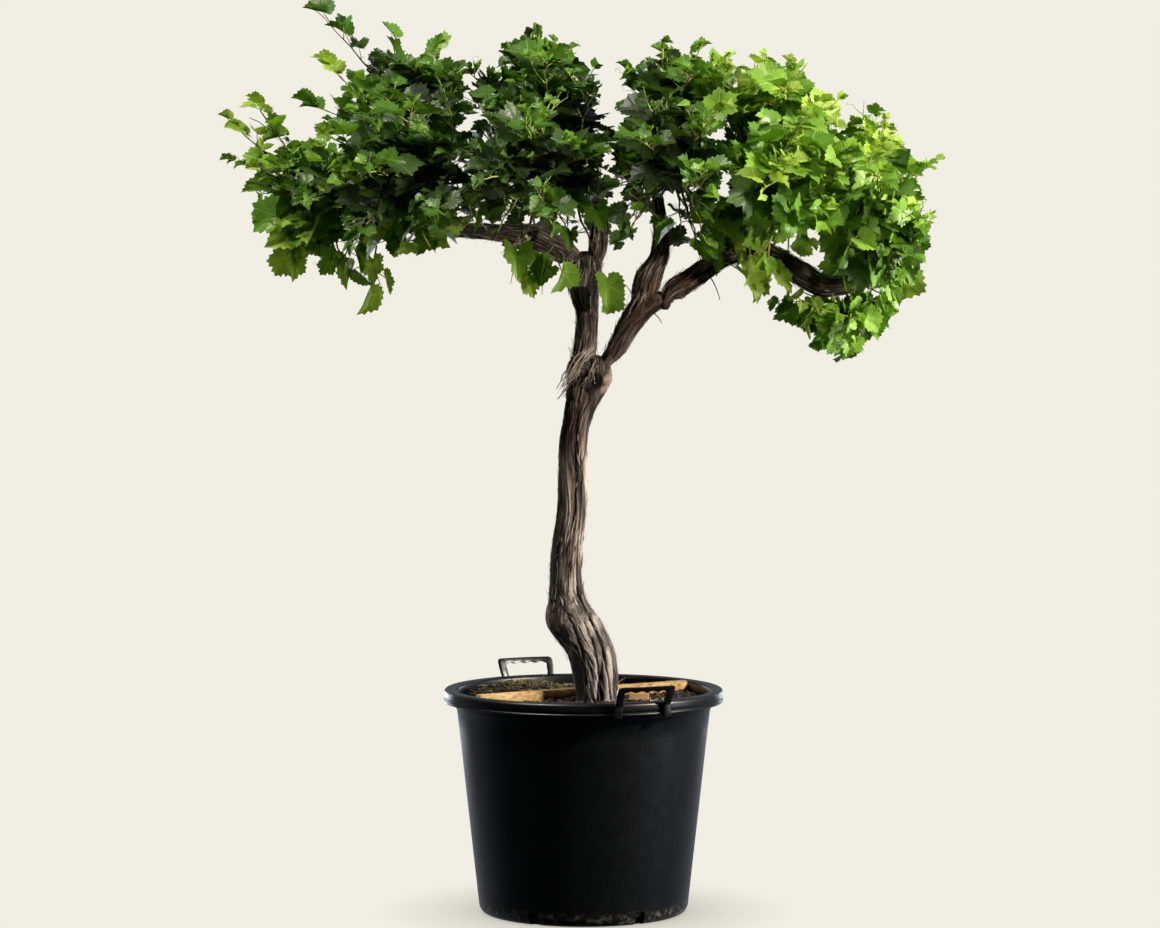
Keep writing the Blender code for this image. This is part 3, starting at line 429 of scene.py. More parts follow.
def bump(tree, shader, height, strength, distance):
    made = add(tree, "ShaderNodeBump", None, {"Height": height, "Strength": strength, "Distance": distance})
    tree.links.new(made.outputs["Normal"], shader.inputs["Normal"])
    return made


# Materials


def moulded_polyethylene():
    """Injection-moulded black polyethylene: near black, half gloss, with dust and faint scuffs."""
    made, tree, shader, place = material("moulded_polyethylene")
    scuffs = add(tree, "ShaderNodeTexNoise", None, {"Vector": place, "Scale": 38.0, "Detail": 6.0, "Roughness": 0.7})
    specks = add(tree, "ShaderNodeTexNoise", None, {"Vector": place, "Scale": 320.0, "Detail": 2.0})
    speck_mask = add(
        tree, "ShaderNodeValToRGB", None, {"Fac": specks.outputs["Fac"]}, ((0.0, 0.0), (0.70, 0.0), (0.78, 1.0))
    )
    split = add(tree, "ShaderNodeSeparateXYZ", None, {"Vector": place})
    low = add(
        tree, "ShaderNodeMapRange", None, {"Value": split.outputs["Z"], "From Min": 0.030, "From Max": 0.0}
    )
    grime_noise = add(tree, "ShaderNodeTexNoise", None, {"Vector": place, "Scale": 90.0, "Detail": 5.0})
    grime_mask = add(tree, "ShaderNodeValToRGB", None, {"Fac": grime_noise.outputs["Fac"]}, ((0.50, 0.04), (0.68, 0.8)))
    grime = add(
        tree, "ShaderNodeMath", {"operation": "MULTIPLY"}, {0: low.outputs["Result"], 1: grime_mask.outputs["Color"]}
    )
    tone = add(
        tree, "ShaderNodeValToRGB", None, {"Fac": scuffs.outputs["Fac"]},
        ((0.30, "#010204"), (0.62, "#020408"), (0.80, "#070a0f")),
    )
    dusty = add(
        tree, "ShaderNodeMix", {"data_type": "RGBA"},
        {"Factor": speck_mask.outputs["Color"], "A": tone.outputs["Color"], "B": linear("#26282b")},
    )
    limy = add(
        tree, "ShaderNodeMix", {"data_type": "RGBA"},
        {"Factor": grime.outputs["Value"], "A": dusty.outputs["Result"], "B": linear("#8d8778")},
    )
    tree.links.new(limy.outputs["Result"], shader.inputs["Base Color"])
    rough = add(
        tree, "ShaderNodeMapRange", None, {"Value": scuffs.outputs["Fac"], "To Min": 0.31, "To Max": 0.45}
    )
    tree.links.new(rough.outputs["Result"], shader.inputs["Roughness"])
    shader.inputs["IOR"].default_value = 1.51
    bump(tree, shader, scuffs.outputs["Fac"], 0.12, 0.001)
    return made


def moist_soil():
    """Dark bark compost: near black when moist, with brown fibres and a few pale specks, 7 mm across."""
    made, tree, shader, place = material("moist_soil")
    grain = add(tree, "ShaderNodeTexNoise", None, {"Vector": place, "Scale": 140.0, "Detail": 8.0, "Roughness": 0.75})
    tone = add(
        tree, "ShaderNodeValToRGB", None, {"Fac": grain.outputs["Fac"]},
        ((0.30, "#080503"), (0.50, "#1b120b"), (0.64, "#33241a"), (0.80, "#5d4a35")),
    )
    tree.links.new(tone.outputs["Color"], shader.inputs["Base Color"])
    shader.inputs["Roughness"].default_value = 0.95
    bump(tree, shader, grain.outputs["Fac"], 0.6, 0.002)
    return made


def crumbly(name, scale, hexes):
    """A dull natural look in three tones, dealt out by a pattern some 15 to 20 mm across: mulch, straw or moss."""
    made, tree, shader, place = material(name)
    grain = add(tree, "ShaderNodeTexNoise", None, {"Vector": place, "Scale": scale, "Detail": 4.0})
    tone = add(
        tree, "ShaderNodeValToRGB", None, {"Fac": grain.outputs["Fac"]}, tuple(zip((0.36, 0.52, 0.68), hexes))
    )
    tree.links.new(tone.outputs["Color"], shader.inputs["Base Color"])
    shader.inputs["Roughness"].default_value = 0.9
    return made


def sawn_pine(turn_deg):
    """Sawn pine: warm tan with grain along the board and darker resin streaks."""
    made, tree, shader, place = material("sawn_pine")
    along = add(
        tree, "ShaderNodeMapping", None,
        {"Vector": place, "Rotation": (0.0, 0.0, -math.radians(turn_deg)), "Scale": (6.0, 150.0, 150.0)},
    )
    grain = add(tree, "ShaderNodeTexNoise", None, {"Vector": along.outputs["Vector"], "Scale": 1.0, "Detail": 6.0})
    patch = add(tree, "ShaderNodeTexNoise", None, {"Vector": place, "Scale": 14.0, "Detail": 2.0})
    tone = add(
        tree, "ShaderNodeValToRGB", None, {"Fac": grain.outputs["Fac"]},
        ((0.30, "#8f6c40"), (0.48, "#c6a46c"), (0.68, "#e0c793")),
    )
    stained = add(
        tree, "ShaderNodeMix", {"data_type": "RGBA", "blend_type": "MULTIPLY"},
        {"Factor": patch.outputs["Fac"], "A": tone.outputs["Color"], "B": linear("#b39a78")},
    )
    tree.links.new(stained.outputs["Result"], shader.inputs["Base Color"])
    shader.inputs["Roughness"].default_value = 0.78
    bump(tree, shader, grain.outputs["Fac"], 0.4, 0.0008)
    return made


def vine_bark():
    """Stringy vine bark: grey plates with pale fibres, near-black furrows between them that are partly darker inner
    bark and partly painted shade, and rust where new bark shows.
    """
    made, tree, shader, place = material("vine_bark")
    relief = add(tree, "ShaderNodeAttribute", {"attribute_name": "relief"}).outputs["Fac"]
    grain = add(tree, "ShaderNodeAttribute", {"attribute_name": "grain"}).outputs["Vector"]
    # Fibres 0.7 mm wide and 12 mm long.
    along = add(tree, "ShaderNodeMapping", None, {"Vector": grain, "Scale": (1400.0, 1400.0, 80.0)})
    fibre = add(tree, "ShaderNodeTexNoise", None, {"Vector": along.outputs["Vector"], "Scale": 1.0, "Detail": 4.0})
    # Stains 60 mm across.
    patch = add(tree, "ShaderNodeTexNoise", None, {"Vector": place, "Scale": 16.0, "Detail": 3.0})
    fibre_share = add(tree, "ShaderNodeMath", {"operation": "MULTIPLY"}, {0: fibre.outputs["Fac"], 1: 0.55})
    mixed = add(
        tree, "ShaderNodeMath", {"operation": "MULTIPLY_ADD"}, {0: relief, 1: 0.75, 2: fibre_share.outputs["Value"]}
    )
    # The relief value picks the tone: furrows, cracks and hollows go near black, which is painted shade over their
    # darker inner bark.
    tone = add(
        tree, "ShaderNodeValToRGB", None, {"Fac": mixed.outputs["Value"]},
        ((0.36, "#060403"), (0.56, "#231a15"), (0.77, "#64574d"), (0.98, "#b5a99d")),
    )
    rust = add(tree, "ShaderNodeValToRGB", None, {"Fac": patch.outputs["Fac"]}, ((0.47, 0.0), (0.62, 0.85)))
    split = add(tree, "ShaderNodeSeparateXYZ", None, {"Vector": place})
    right = add(
        tree, "ShaderNodeMapRange", None, {"Value": split.outputs["X"], "From Min": 0.02, "From Max": 0.10}
    )
    above = add(
        tree, "ShaderNodeMapRange", None,
        {"Value": split.outputs["Z"], "From Min": 0.66, "From Max": 0.82, "To Max": 0.45},
    )
    warmed = add(
        tree, "ShaderNodeMath", {"operation": "MAXIMUM"}, {0: above.outputs["Result"], 1: right.outputs["Result"]}
    )
    rust_there = add(
        tree, "ShaderNodeMath", {"operation": "MULTIPLY"}, {0: rust.outputs["Color"], 1: warmed.outputs["Value"]}
    )
    at_foot = add(
        tree, "ShaderNodeMapRange", None, {"Value": split.outputs["Z"], "From Min": 0.70, "From Max": 0.54}
    )
    greyed = add(
        tree, "ShaderNodeMix", {"data_type": "RGBA", "blend_type": "MULTIPLY"},
        {"Factor": at_foot.outputs["Result"], "A": tone.outputs["Color"], "B": linear("#e8ebf4")},
    )
    warm = add(
        tree, "ShaderNodeMix", {"data_type": "RGBA", "blend_type": "MULTIPLY"},
        {"Factor": rust_there.outputs["Value"], "A": greyed.outputs["Result"], "B": linear("#c79479")},
    )
    tree.links.new(warm.outputs["Result"], shader.inputs["Base Color"])
    shader.inputs["Roughness"].default_value = 0.80
    bump(tree, shader, fibre.outputs["Fac"], 0.8, 0.0012)
    return made


def cut_wood():
    """Old pruning cut: dry tan heartwood."""
    made, tree, shader, place = material("cut_wood")
    grain = add(tree, "ShaderNodeTexNoise", None, {"Vector": place, "Scale": 220.0, "Detail": 5.0})
    tone = add(
        tree, "ShaderNodeValToRGB", None, {"Fac": grain.outputs["Fac"]}, ((0.3, "#3a2b20"), (0.7, "#7c6855"))
    )
    tree.links.new(tone.outputs["Color"], shader.inputs["Base Color"])
    shader.inputs["Roughness"].default_value = 0.85
    bump(tree, shader, grain.outputs["Fac"], 0.4, 0.001)
    return made


def vein_pattern(tree):
    """1 on a leaf's main veins and 0 between them, from the leaf's own UV map."""
    uv = add(tree, "ShaderNodeUVMap", {"uv_map": "leaf"}).outputs["UV"]
    split = add(tree, "ShaderNodeSeparateXYZ", None, {"Vector": uv})
    side = add(tree, "ShaderNodeMath", {"operation": "ABSOLUTE"}, {0: split.outputs["X"]}).outputs["Value"]
    nearest = side
    for angle_deg in (42.0, -6.0):
        angle = math.radians(angle_deg)
        across = add(
            tree, "ShaderNodeMath", {"operation": "MULTIPLY"}, {0: split.outputs["Y"], 1: math.cos(angle)}
        ).outputs["Value"]
        off = add(
            tree, "ShaderNodeMath", {"operation": "MULTIPLY_ADD"}, {0: side, 1: -math.sin(angle), 2: across}
        ).outputs["Value"]
        away = add(tree, "ShaderNodeMath", {"operation": "ABSOLUTE"}, {0: off}).outputs["Value"]
        nearest = add(tree, "ShaderNodeMath", {"operation": "MINIMUM"}, {0: nearest, 1: away}).outputs["Value"]
    return add(
        tree, "ShaderNodeMapRange", None, {"Value": nearest, "From Min": 0.030, "From Max": 0.0}
    ).outputs["Result"]


def vine_leaf(name, hex_colour):
    """A vine leaf: half gloss above, paler veins, and light that shines through the blade."""
    made, tree, shader, place = material("leaf_" + name)
    veins = vein_pattern(tree)
    blotch = add(tree, "ShaderNodeTexNoise", None, {"Vector": place, "Scale": 55.0, "Detail": 3.0})
    base = linear(hex_colour)
    dark = tuple([c * 0.72 for c in base[:3]] + [1.0])
    pale = tuple([min(c * 1.5 + 0.02, 1.0) for c in base[:3]] + [1.0])
    tone = add(
        tree, "ShaderNodeMix", {"data_type": "RGBA"}, {"Factor": blotch.outputs["Fac"], "A": dark, "B": base}
    )
    vein_share = add(tree, "ShaderNodeMath", {"operation": "MULTIPLY"}, {0: veins, 1: 0.55})
    veined = add(
        tree, "ShaderNodeMix", {"data_type": "RGBA"},
        {"Factor": vein_share.outputs["Value"], "A": tone.outputs["Result"], "B": pale},
    )
    tree.links.new(veined.outputs["Result"], shader.inputs["Base Color"])
    shader.inputs["Roughness"].default_value = 0.40
    shader.inputs["IOR"].default_value = 1.42
    # Puckers 5 mm across between the veins.
    pucker = add(tree, "ShaderNodeTexNoise", None, {"Vector": place, "Scale": 200.0, "Detail": 2.0})
    relief = add(
        tree, "ShaderNodeMath", {"operation": "MULTIPLY_ADD"}, {0: pucker.outputs["Fac"], 1: 0.6, 2: veins}
    )
    bump(tree, shader, relief.outputs["Value"], 0.55, 0.0018)
    glow_colour = add(
        tree, "ShaderNodeMix", {"data_type": "RGBA", "blend_type": "MULTIPLY"},
        {"Factor": 1.0, "A": veined.outputs["Result"], "B": (1.5, 1.6, 0.7, 1.0)},
    )
    glow = add(tree, "ShaderNodeBsdfTranslucent", None, {"Color": glow_colour.outputs["Result"]})
    both = add(tree, "ShaderNodeMixShader", None, {0: 0.28, 1: shader.outputs["BSDF"], 2: glow.outputs["BSDF"]})
    tree.links.new(both.outputs["Shader"], tree.nodes["Material Output"].inputs["Surface"])
    return made


def green_shoot(name, low_colour, high_colour):
    """Soft young wood: green and red-brown in patches some 55 mm across, as on a cane that the sun has ripened in
    places.
    """
    made, tree, shader, place = material(name)
    patch = add(tree, "ShaderNodeTexNoise", None, {"Vector": place, "Scale": 18.0, "Detail": 2.0})
    tone = add(
        tree, "ShaderNodeValToRGB", None, {"Fac": patch.outputs["Fac"]}, ((0.40, low_colour), (0.62, high_colour))
    )
    tree.links.new(tone.outputs["Color"], shader.inputs["Base Color"])
    shader.inputs["Roughness"].default_value = 0.5
    return made


# Making pieces


def piece(name, data, look, replaces=()):
    """A finished piece that rides on the plant's one body."""
    made = bpy.data.objects.new(name, data)
    bpy.context.scene.collection.objects.link(made)
    if not data.materials:
        data.materials.append(look)
    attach(made, "root")
    if replaces:
        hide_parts(*replaces)
    return made


def mesh_of(name, form, smooth_deg=None):
    """A mesh from a bmesh, shaded smooth up to an angle."""
    data = bpy.data.meshes.new(name)
    form.to_mesh(data)
    form.free()
    if smooth_deg is not None:
        data.shade_smooth()
        data.set_sharp_from_angle(angle=math.radians(smooth_deg))
    return data


def arrays_mesh(name, points, faces, loose_uv=None):
    """A smooth mesh from arrays of points and of faces with three or four corners."""
    data = bpy.data.meshes.new(name)
    counts = np.array([len(face) for face in faces], np.int32) if isinstance(faces, list) else None
    if counts is None:
        counts = np.full(len(faces), faces.shape[1], np.int32)
        corners = faces.astype(np.int32).ravel()
    else:
        corners = np.array([corner for face in faces for corner in face], np.int32)
    data.vertices.add(len(points))
    data.vertices.foreach_set("co", np.asarray(points, np.float32).ravel())
    data.loops.add(len(corners))
    data.loops.foreach_set("vertex_index", corners)
    data.polygons.add(len(counts))
    starts = np.concatenate(([0], np.cumsum(counts)[:-1])).astype(np.int32)
    data.polygons.foreach_set("loop_start", starts)
    if loose_uv is not None:
        layer = data.uv_layers.new(name="leaf")
        layer.data.foreach_set("uv", np.asarray(loose_uv, np.float32)[corners].ravel())
    data.update(calc_edges=True)
    data.validate()
    data.shade_smooth()
    return data


def inner_radius(height):
    share = (height - POT_CORNER) / (COLLAR_BOTTOM - POT_CORNER)
    return POT_FOOT_RADIUS + (POT_WALL_RADIUS - POT_FOOT_RADIUS) * share - POT_WALL


def arc(centre_r, centre_z, radius, start_deg, end_deg, steps):
    """Points of (radius, height) on an arc in the profile's plane."""
    out = []
    for index in range(steps + 1):
        angle = math.radians(start_deg + (end_deg - start_deg) * index / steps)
        out.append((centre_r + radius * math.cos(angle), centre_z + radius * math.sin(angle)))
    return out


def spun(profile, turns):
    """A closed form from a profile of (radius, height) spun about Z."""
    form = bmesh.new()
    points = [form.verts.new((radius, 0.0, height)) for radius, height in profile]
    edges = [form.edges.new(pair) for pair in zip(points, points[1:])]
    bmesh.ops.spin(
        form, geom=points + edges, cent=(0, 0, 0), axis=(0, 0, 1), angle=math.tau, steps=turns, use_merge=True
    )
    bmesh.ops.remove_doubles(form, verts=form.verts[:], dist=0.00001)
    bmesh.ops.recalc_face_normals(form, faces=form.faces[:])
    return form


def pot(look):
    rim_bottom = POT_HEIGHT - RIM_SKIRT
    under_rim = POT_HEIGHT - POT_WALL - RIM_ROUND
    inner_top = inner_radius(under_rim)
    profile = [(0.0, POT_FLOOR), (inner_radius(POT_CORNER) - POT_CORNER * 0.6, POT_FLOOR)]
    profile += arc(inner_radius(POT_CORNER) - 0.012, POT_FLOOR + 0.012, 0.012, -60, 0, 4)
    profile += [(inner_radius(0.2), 0.2), (inner_top - 0.0008, under_rim - 0.010), (inner_top, under_rim)]
    profile += arc(inner_top + RIM_ROUND, POT_HEIGHT - RIM_ROUND, RIM_ROUND - 0.0006, 170, 95, 5)
    profile += [(inner_top + 0.014, POT_HEIGHT - 0.0018)]
    profile += arc(POT_RIM_RADIUS - RIM_ROUND, POT_HEIGHT - RIM_ROUND, RIM_ROUND, 88, 0, 8)
    profile += [(POT_RIM_RADIUS + 0.0002, rim_bottom + 0.011), (POT_RIM_RADIUS - 0.0004, rim_bottom + 0.0080)]
    profile += [(POT_RIM_RADIUS - 0.0018, rim_bottom + 0.0064), (POT_RIM_RADIUS - 0.0018, rim_bottom + 0.0050)]
    profile += arc(POT_RIM_RADIUS - 0.0022, rim_bottom + 0.0022, 0.0024, 60, -90, 6)
    profile += [(POT_RIM_RADIUS - POT_WALL + 0.0004, rim_bottom)]
    profile += [(POT_RIM_RADIUS - POT_WALL, rim_bottom + 0.004), (POT_RIM_RADIUS - POT_WALL, under_rim - 0.002)]
    profile += [(POT_RIM_RADIUS - POT_WALL - 0.002, under_rim), (POT_COLLAR_RADIUS + 0.001, under_rim)]
    profile += [(POT_COLLAR_RADIUS, under_rim - 0.002), (POT_COLLAR_RADIUS, COLLAR_BOTTOM + 0.0055)]
    profile += [(POT_COLLAR_RADIUS - 0.0006, COLLAR_BOTTOM + 0.0040), (POT_WALL_RADIUS + 0.0004, COLLAR_BOTTOM)]
    wall_steps = 10
    for index in range(1, wall_steps):
        share = index / wall_steps
        profile.append((
            POT_WALL_RADIUS + (POT_FOOT_RADIUS - POT_WALL_RADIUS) * share,
            COLLAR_BOTTOM + (POT_CORNER - COLLAR_BOTTOM) * share,
        ))
    corner_round = POT_FOOT_RADIUS - POT_UNDERSIDE_RADIUS
    for index in range(7):
        angle = math.radians(90.0 * index / 6)
        profile.append((
            POT_UNDERSIDE_RADIUS + corner_round * math.cos(angle), POT_CORNER * (1.0 - math.sin(angle))
        ))
    profile += [(POT_UNDERSIDE_RADIUS - 0.030, 0.0), (POT_UNDERSIDE_RADIUS - 0.033, 0.002), (0.0, 0.002)]
    data = mesh_of("pot_shell", spun(profile, POT_TURNS), 40.0)
    shell = bpy.data.objects.new("pot_shell", data)
    bpy.context.scene.collection.objects.link(shell)
    cutters = []
    for index in range(NOTCH_COUNT):
        bearing = math.radians(NOTCH_FIRST_DEG + index * 360.0 / NOTCH_COUNT)
        form = bmesh.new()
        bmesh.ops.create_cube(form, size=1.0)
        bmesh.ops.scale(form, verts=form.verts[:], vec=(NOTCH_DEPTH, NOTCH_WIDTH, NOTCH_HEIGHT))
        bmesh.ops.bevel(
            form, geom=form.edges[:], offset=0.003, segments=2, profile=0.5, affect="EDGES", material=-1
        )
        out = POT_UNDERSIDE_RADIUS - 0.006 + NOTCH_DEPTH / 2
        centre = Vector((out * math.cos(bearing), out * math.sin(bearing), NOTCH_HEIGHT / 2 - 0.002))
        form.transform(Matrix.Translation(centre) @ Matrix.Rotation(bearing, 4, "Z"))
        cutter = bpy.data.objects.new(f"notch_{index + 1}", mesh_of(f"notch_{index + 1}", form))
        bpy.context.scene.collection.objects.link(cutter)
        cutters.append(cutter)
        cut = shell.modifiers.new(cutter.name, "BOOLEAN")
        cut.operation = "DIFFERENCE"
        cut.object = cutter
    cut_data = bpy.data.meshes.new_from_object(shell.evaluated_get(bpy.context.evaluated_depsgraph_get()))
    for spare in cutters + [shell]:
        bpy.data.objects.remove(spare, do_unlink=True)
    cut_data.shade_smooth()
    cut_data.set_sharp_from_angle(angle=math.radians(40.0))
    piece("pot_wall_and_rim", cut_data, look, ("pot",))


def handle(name, bearing_deg, look, node):
    """A moulded bracket: an outline of two legs and a scalloped bar, given its thickness and bent to the rim."""
    half_span = HANDLE_SPAN / 2
    half_grip = HANDLE_GRIP / 2
    bar_bottom = HANDLE_TOP - HANDLE_BAR
    corner = 0.006
    outline = [(half_span, HANDLE_TOP - corner), (half_span + 0.001, 0.455), (half_span + 0.001, HANDLE_BEND)]
    outline += [(half_span + 0.003, 0.425)]
    outline += [(half_span + HANDLE_FOOT_FLARE, HANDLE_BOTTOM), (half_grip + 0.001, HANDLE_BOTTOM)]
    outline += [(half_grip, HANDLE_BEND), (half_grip, 0.450), (half_grip, bar_bottom - 0.004)]
    finger_points = 8
    for index in range(1, SCALLOPS * finger_points):
        along = index / (SCALLOPS * finger_points)
        hollow = math.sin(math.pi * along * SCALLOPS) ** 2
        outline.append((half_grip * (1.0 - 2.0 * along), bar_bottom + SCALLOP_DEPTH * (hollow - 1.0)))
    outline += [(-half_grip, bar_bottom - 0.004), (-half_grip, 0.450), (-half_grip, HANDLE_BEND)]
    outline += [(-half_grip - 0.001, HANDLE_BOTTOM)]
    outline += [(-half_span - HANDLE_FOOT_FLARE, HANDLE_BOTTOM), (-half_span - 0.003, 0.425)]
    outline += [(-half_span - 0.001, HANDLE_BEND), (-half_span - 0.001, 0.455), (-half_span, HANDLE_TOP - corner)]
    outline += [(-half_span + 0.002, HANDLE_TOP - 0.002), (-half_span + corner, HANDLE_TOP)]
    top_steps = 16
    for index in range(1, top_steps):
        outline.append((-half_span + corner + (HANDLE_SPAN - 2 * corner) * index / top_steps, HANDLE_TOP))
    outline += [(half_span - corner, HANDLE_TOP), (half_span - 0.002, HANDLE_TOP - 0.002)]
    form = bmesh.new()
    face = form.faces.new([form.verts.new((across, up, -HANDLE_THICK / 2)) for across, up in outline])
    bmesh.ops.extrude_face_region(form, geom=[face])
    form.verts.ensure_lookup_table()
    for point in form.verts[len(outline) :]:
        point.co.z = HANDLE_THICK / 2
    bmesh.ops.recalc_face_normals(form, faces=form.faces[:])
    sharp = [edge for edge in form.edges if abs(edge.verts[0].co.z - edge.verts[1].co.z) < 0.0001]
    bmesh.ops.bevel(form, geom=sharp, offset=0.0016, segments=2, profile=0.5, affect="EDGES", material=-1)
    bmesh.ops.triangulate(form, faces=[f for f in form.faces if len(f.verts) > 4])
    reach = POT_RIM_RADIUS + GAP + HANDLE_THICK / 2
    bearing = math.radians(bearing_deg)
    lean = math.tan(math.radians(HANDLE_LEAN_DEG))
    for point in form.verts:
        across, up, out = point.co
        angle = bearing + across / reach
        radius = reach + out + max(up - HANDLE_BEND, 0.0) * lean
        point.co = (radius * math.cos(angle), radius * math.sin(angle), up)
    bmesh.ops.recalc_face_normals(form, faces=form.faces[:])
    piece(name, mesh_of(name, form, 25.0), look, (node,))


def soil_height(x, y):
    """The height of the heaps and of the soil's own unevenness."""
    height = 0.0
    for heap_x, heap_y, radius, top in SOIL_HEAPS:
        away = math.hypot(x - heap_x, y - heap_y) / radius
        if away < 1.0:
            height += top * (1.0 - away * away) ** 2
    rough = noise.fractal(Vector((x, y, 0.3)) * 28.0, 0.8, 2.1, 5)
    return height + 0.0022 * rough + 0.0008 * noise.noise(Vector((x, y, 0.7)) * 220.0)


def soil(look, mulch_look, straw_look, moss_look):
    edge = inner_radius(SOIL_LEVEL) - GAP
    rings = 70
    profile = [(edge * index / rings, SOIL_LEVEL + 0.001) for index in range(rings + 1)]
    profile += [(edge - 0.001, SOIL_LEVEL - 0.004), (inner_radius(0.2) - GAP, 0.2)]
    profile += [(inner_radius(POT_CORNER) - GAP, POT_CORNER), (inner_radius(POT_CORNER) - 0.014, POT_FLOOR + GAP)]
    profile += [(0.0, POT_FLOOR + GAP)]
    form = spun(profile, 160)
    for point in form.verts:
        if point.co.z > SOIL_LEVEL:
            point.co.z += soil_height(point.co.x, point.co.y)
    piece("soil_surface", mesh_of("soil_surface", form, 60.0), look, ("soil",))
    mulch(edge, mulch_look)
    straw(edge, straw_look, moss_look)


def mulch(edge, look):
    """Chips and crumbs of bark that lie on the soil at all angles."""
    rng = random.Random("mulch")
    seed_form = bmesh.new()
    bmesh.ops.create_icosphere(seed_form, subdivisions=1, radius=1.0)
    crumb = np.array([point.co[:] for point in seed_form.verts])
    crumb_faces = np.array([[point.index for point in face.verts] for face in seed_form.faces])
    seed_form.free()
    points, faces = [], []
    for index in range(MULCH_CHIPS):
        bearing, out = rng.uniform(0, math.tau), (edge - 0.004) * math.sqrt(rng.random())
        x, y = out * math.cos(bearing), out * math.sin(bearing)
        long = rng.triangular(0.0015, 0.0110, 0.0030)
        stretch = np.diag([long, long * rng.uniform(0.3, 0.7), long * rng.uniform(0.15, 0.45)])
        tilt = Matrix.Rotation(rng.uniform(-0.7, 0.7), 3, "X") @ Matrix.Rotation(rng.uniform(-0.5, 0.5), 3, "Y")
        spin = Matrix.Rotation(rng.uniform(0, math.tau), 3, "Z") @ tilt
        place = np.array([x, y, SOIL_LEVEL + 0.0015 + soil_height(x, y) + long * 0.15])
        points.append(crumb @ stretch @ np.array(spin).T + place)
        faces.append(crumb_faces + len(crumb) * index)
    piece("bark_mulch", arrays_mesh("bark_mulch", np.concatenate(points), np.concatenate(faces)), look)


def straw(edge, straw_look, moss_look):
    """Threads of dry straw that lie on the soil, and moss that stands on its heaps."""
    rng = random.Random("straw")
    stalks, threads = [], []
    for _ in range(STRAW_STALKS + MOSS_THREADS):
        moss = len(stalks) >= STRAW_STALKS
        heap_x, heap_y, radius, _top = SOIL_HEAPS[0] if rng.random() < 0.55 else rng.choice(SOIL_HEAPS)
        bearing, out = rng.uniform(0, math.tau), radius * (0.75 if moss else 1.1) * math.sqrt(rng.random())
        x, y = heap_x + out * math.cos(bearing), heap_y + out * math.sin(bearing)
        patchy = noise.noise(Vector((x, y, 0.1)) * 38.0)
        if math.hypot(x, y) > edge - 0.012 or (moss and patchy < 0.05):
            threads += [None] if moss else []
            stalks += [] if moss else [None]
            continue
        start = Vector((x, y, SOIL_LEVEL + 0.001 + soil_height(x, y)))
        rise = rng.uniform(0.3, 1.2) if moss else rng.uniform(0.0, 0.35)
        way = Vector((rng.uniform(-1, 1), rng.uniform(-1, 1), rise)).normalized()
        end = start + way * (rng.uniform(0.005, 0.011) if moss else rng.uniform(0.012, 0.036))
        end.z = min(end.z, POT_HEIGHT + 0.004)
        line = (bowed(start, (way + Vector((0, 0, 0.6))).normalized(), end, 3), rng.uniform(0.0004, 0.0008), 0.0003)
        (threads if moss else stalks).append(line)
    stalks = [line for line in stalks if line]
    threads = [line for line in threads if line]
    piece("straw_stalks", tubes_mesh("straw_stalks", stalks, 3), straw_look)
    piece("moss_threads", tubes_mesh("moss_threads", threads, 3), moss_look)


def timber(name, size, place, turn_deg, look, node, ragged):
    """A sawn board with eased edges, slightly rough faces and, on an offcut, a broken end."""
    rng = random.Random(name)
    form = bmesh.new()
    bmesh.ops.create_cube(form, size=1.0)
    bmesh.ops.scale(form, verts=form.verts[:], vec=size)
    bmesh.ops.bevel(form, geom=form.edges[:], offset=0.0012, segments=2, profile=0.5, affect="EDGES", material=-1)
    long_edges = [edge for edge in form.edges if abs(edge.verts[0].co.x - edge.verts[1].co.x) > size[0] * 0.5]
    bmesh.ops.subdivide_edges(form, edges=long_edges, cuts=int(size[0] / 0.004), use_grid_fill=True)
    for point in form.verts:
        point.co.z += 0.0005 * noise.noise(point.co * 60.0)
        point.co.y += 0.0005 * noise.noise(point.co * 45.0 + Vector((5, 0, 0)))
        if ragged and point.co.x > size[0] * 0.25:
            point.co.z -= (point.co.x - size[0] * 0.25) * rng.uniform(0.3, 0.9)
    turn = Matrix.Rotation(math.radians(turn_deg), 4, "Z")
    form.transform(Matrix.Translation((place[0], place[1], SOIL_LEVEL + GAP + size[2] / 2)) @ turn)
    piece(name, mesh_of(name, form, 40.0), look, (node,))


# Limbs and their bark


def blended(rows, position):
    """A smooth row between the rows of a route."""
    index = min(int(position), len(rows) - 2)
    share = position - index
    before = rows[max(index - 1, 0)]
    start = rows[index]
    end = rows[index + 1]
    after = rows[min(index + 2, len(rows) - 1)]
    mixed = []
    for a, b, c, d in zip(before, start, end, after):
        bend = 2 * a - 5 * b + 4 * c - d
        swing = 3 * b - a - 3 * c + d
        mixed.append(b + 0.5 * share * (c - a + share * (bend + share * swing)))
    return mixed


def rings_of(rows, step):
    out = [list(rows[0])]
    for index in range(len(rows) - 1):
        length = (Vector(rows[index + 1][:3]) - Vector(rows[index][:3])).length
        pieces = max(1, round(length / step))
        out += [blended(rows, index + part / pieces) for part in range(1, pieces + 1)]
    return out


def section_frames(name, rings):
    """Each ring's centre, half sizes, axes and distance from the limb's foot."""
    frames = []
    travelled = 0.0
    for index, (x, y, z, half_width, half_depth, square) in enumerate(rings):
        centre = Vector((x, y, z))
        before = Vector(rings[max(index - 1, 0)][:3])
        after = Vector(rings[min(index + 1, len(rings) - 1)][:3])
        travelled += (centre - before).length
        along = (after - before).normalized()
        normal = Vector((0, 0, 1)).lerp(along, min(max(square, 0.0), 1.0)).normalized()
        if name in BEND_ENDS and index == BEND_ENDS[name] % len(rings):
            normal = BEND_FACE
        depth_axis = (Vector((0, 1, 0)) - normal * normal.y).normalized()
        width_axis = depth_axis.cross(normal)
        frames.append((centre, half_width, half_depth, width_axis, depth_axis, normal, travelled))
    return frames
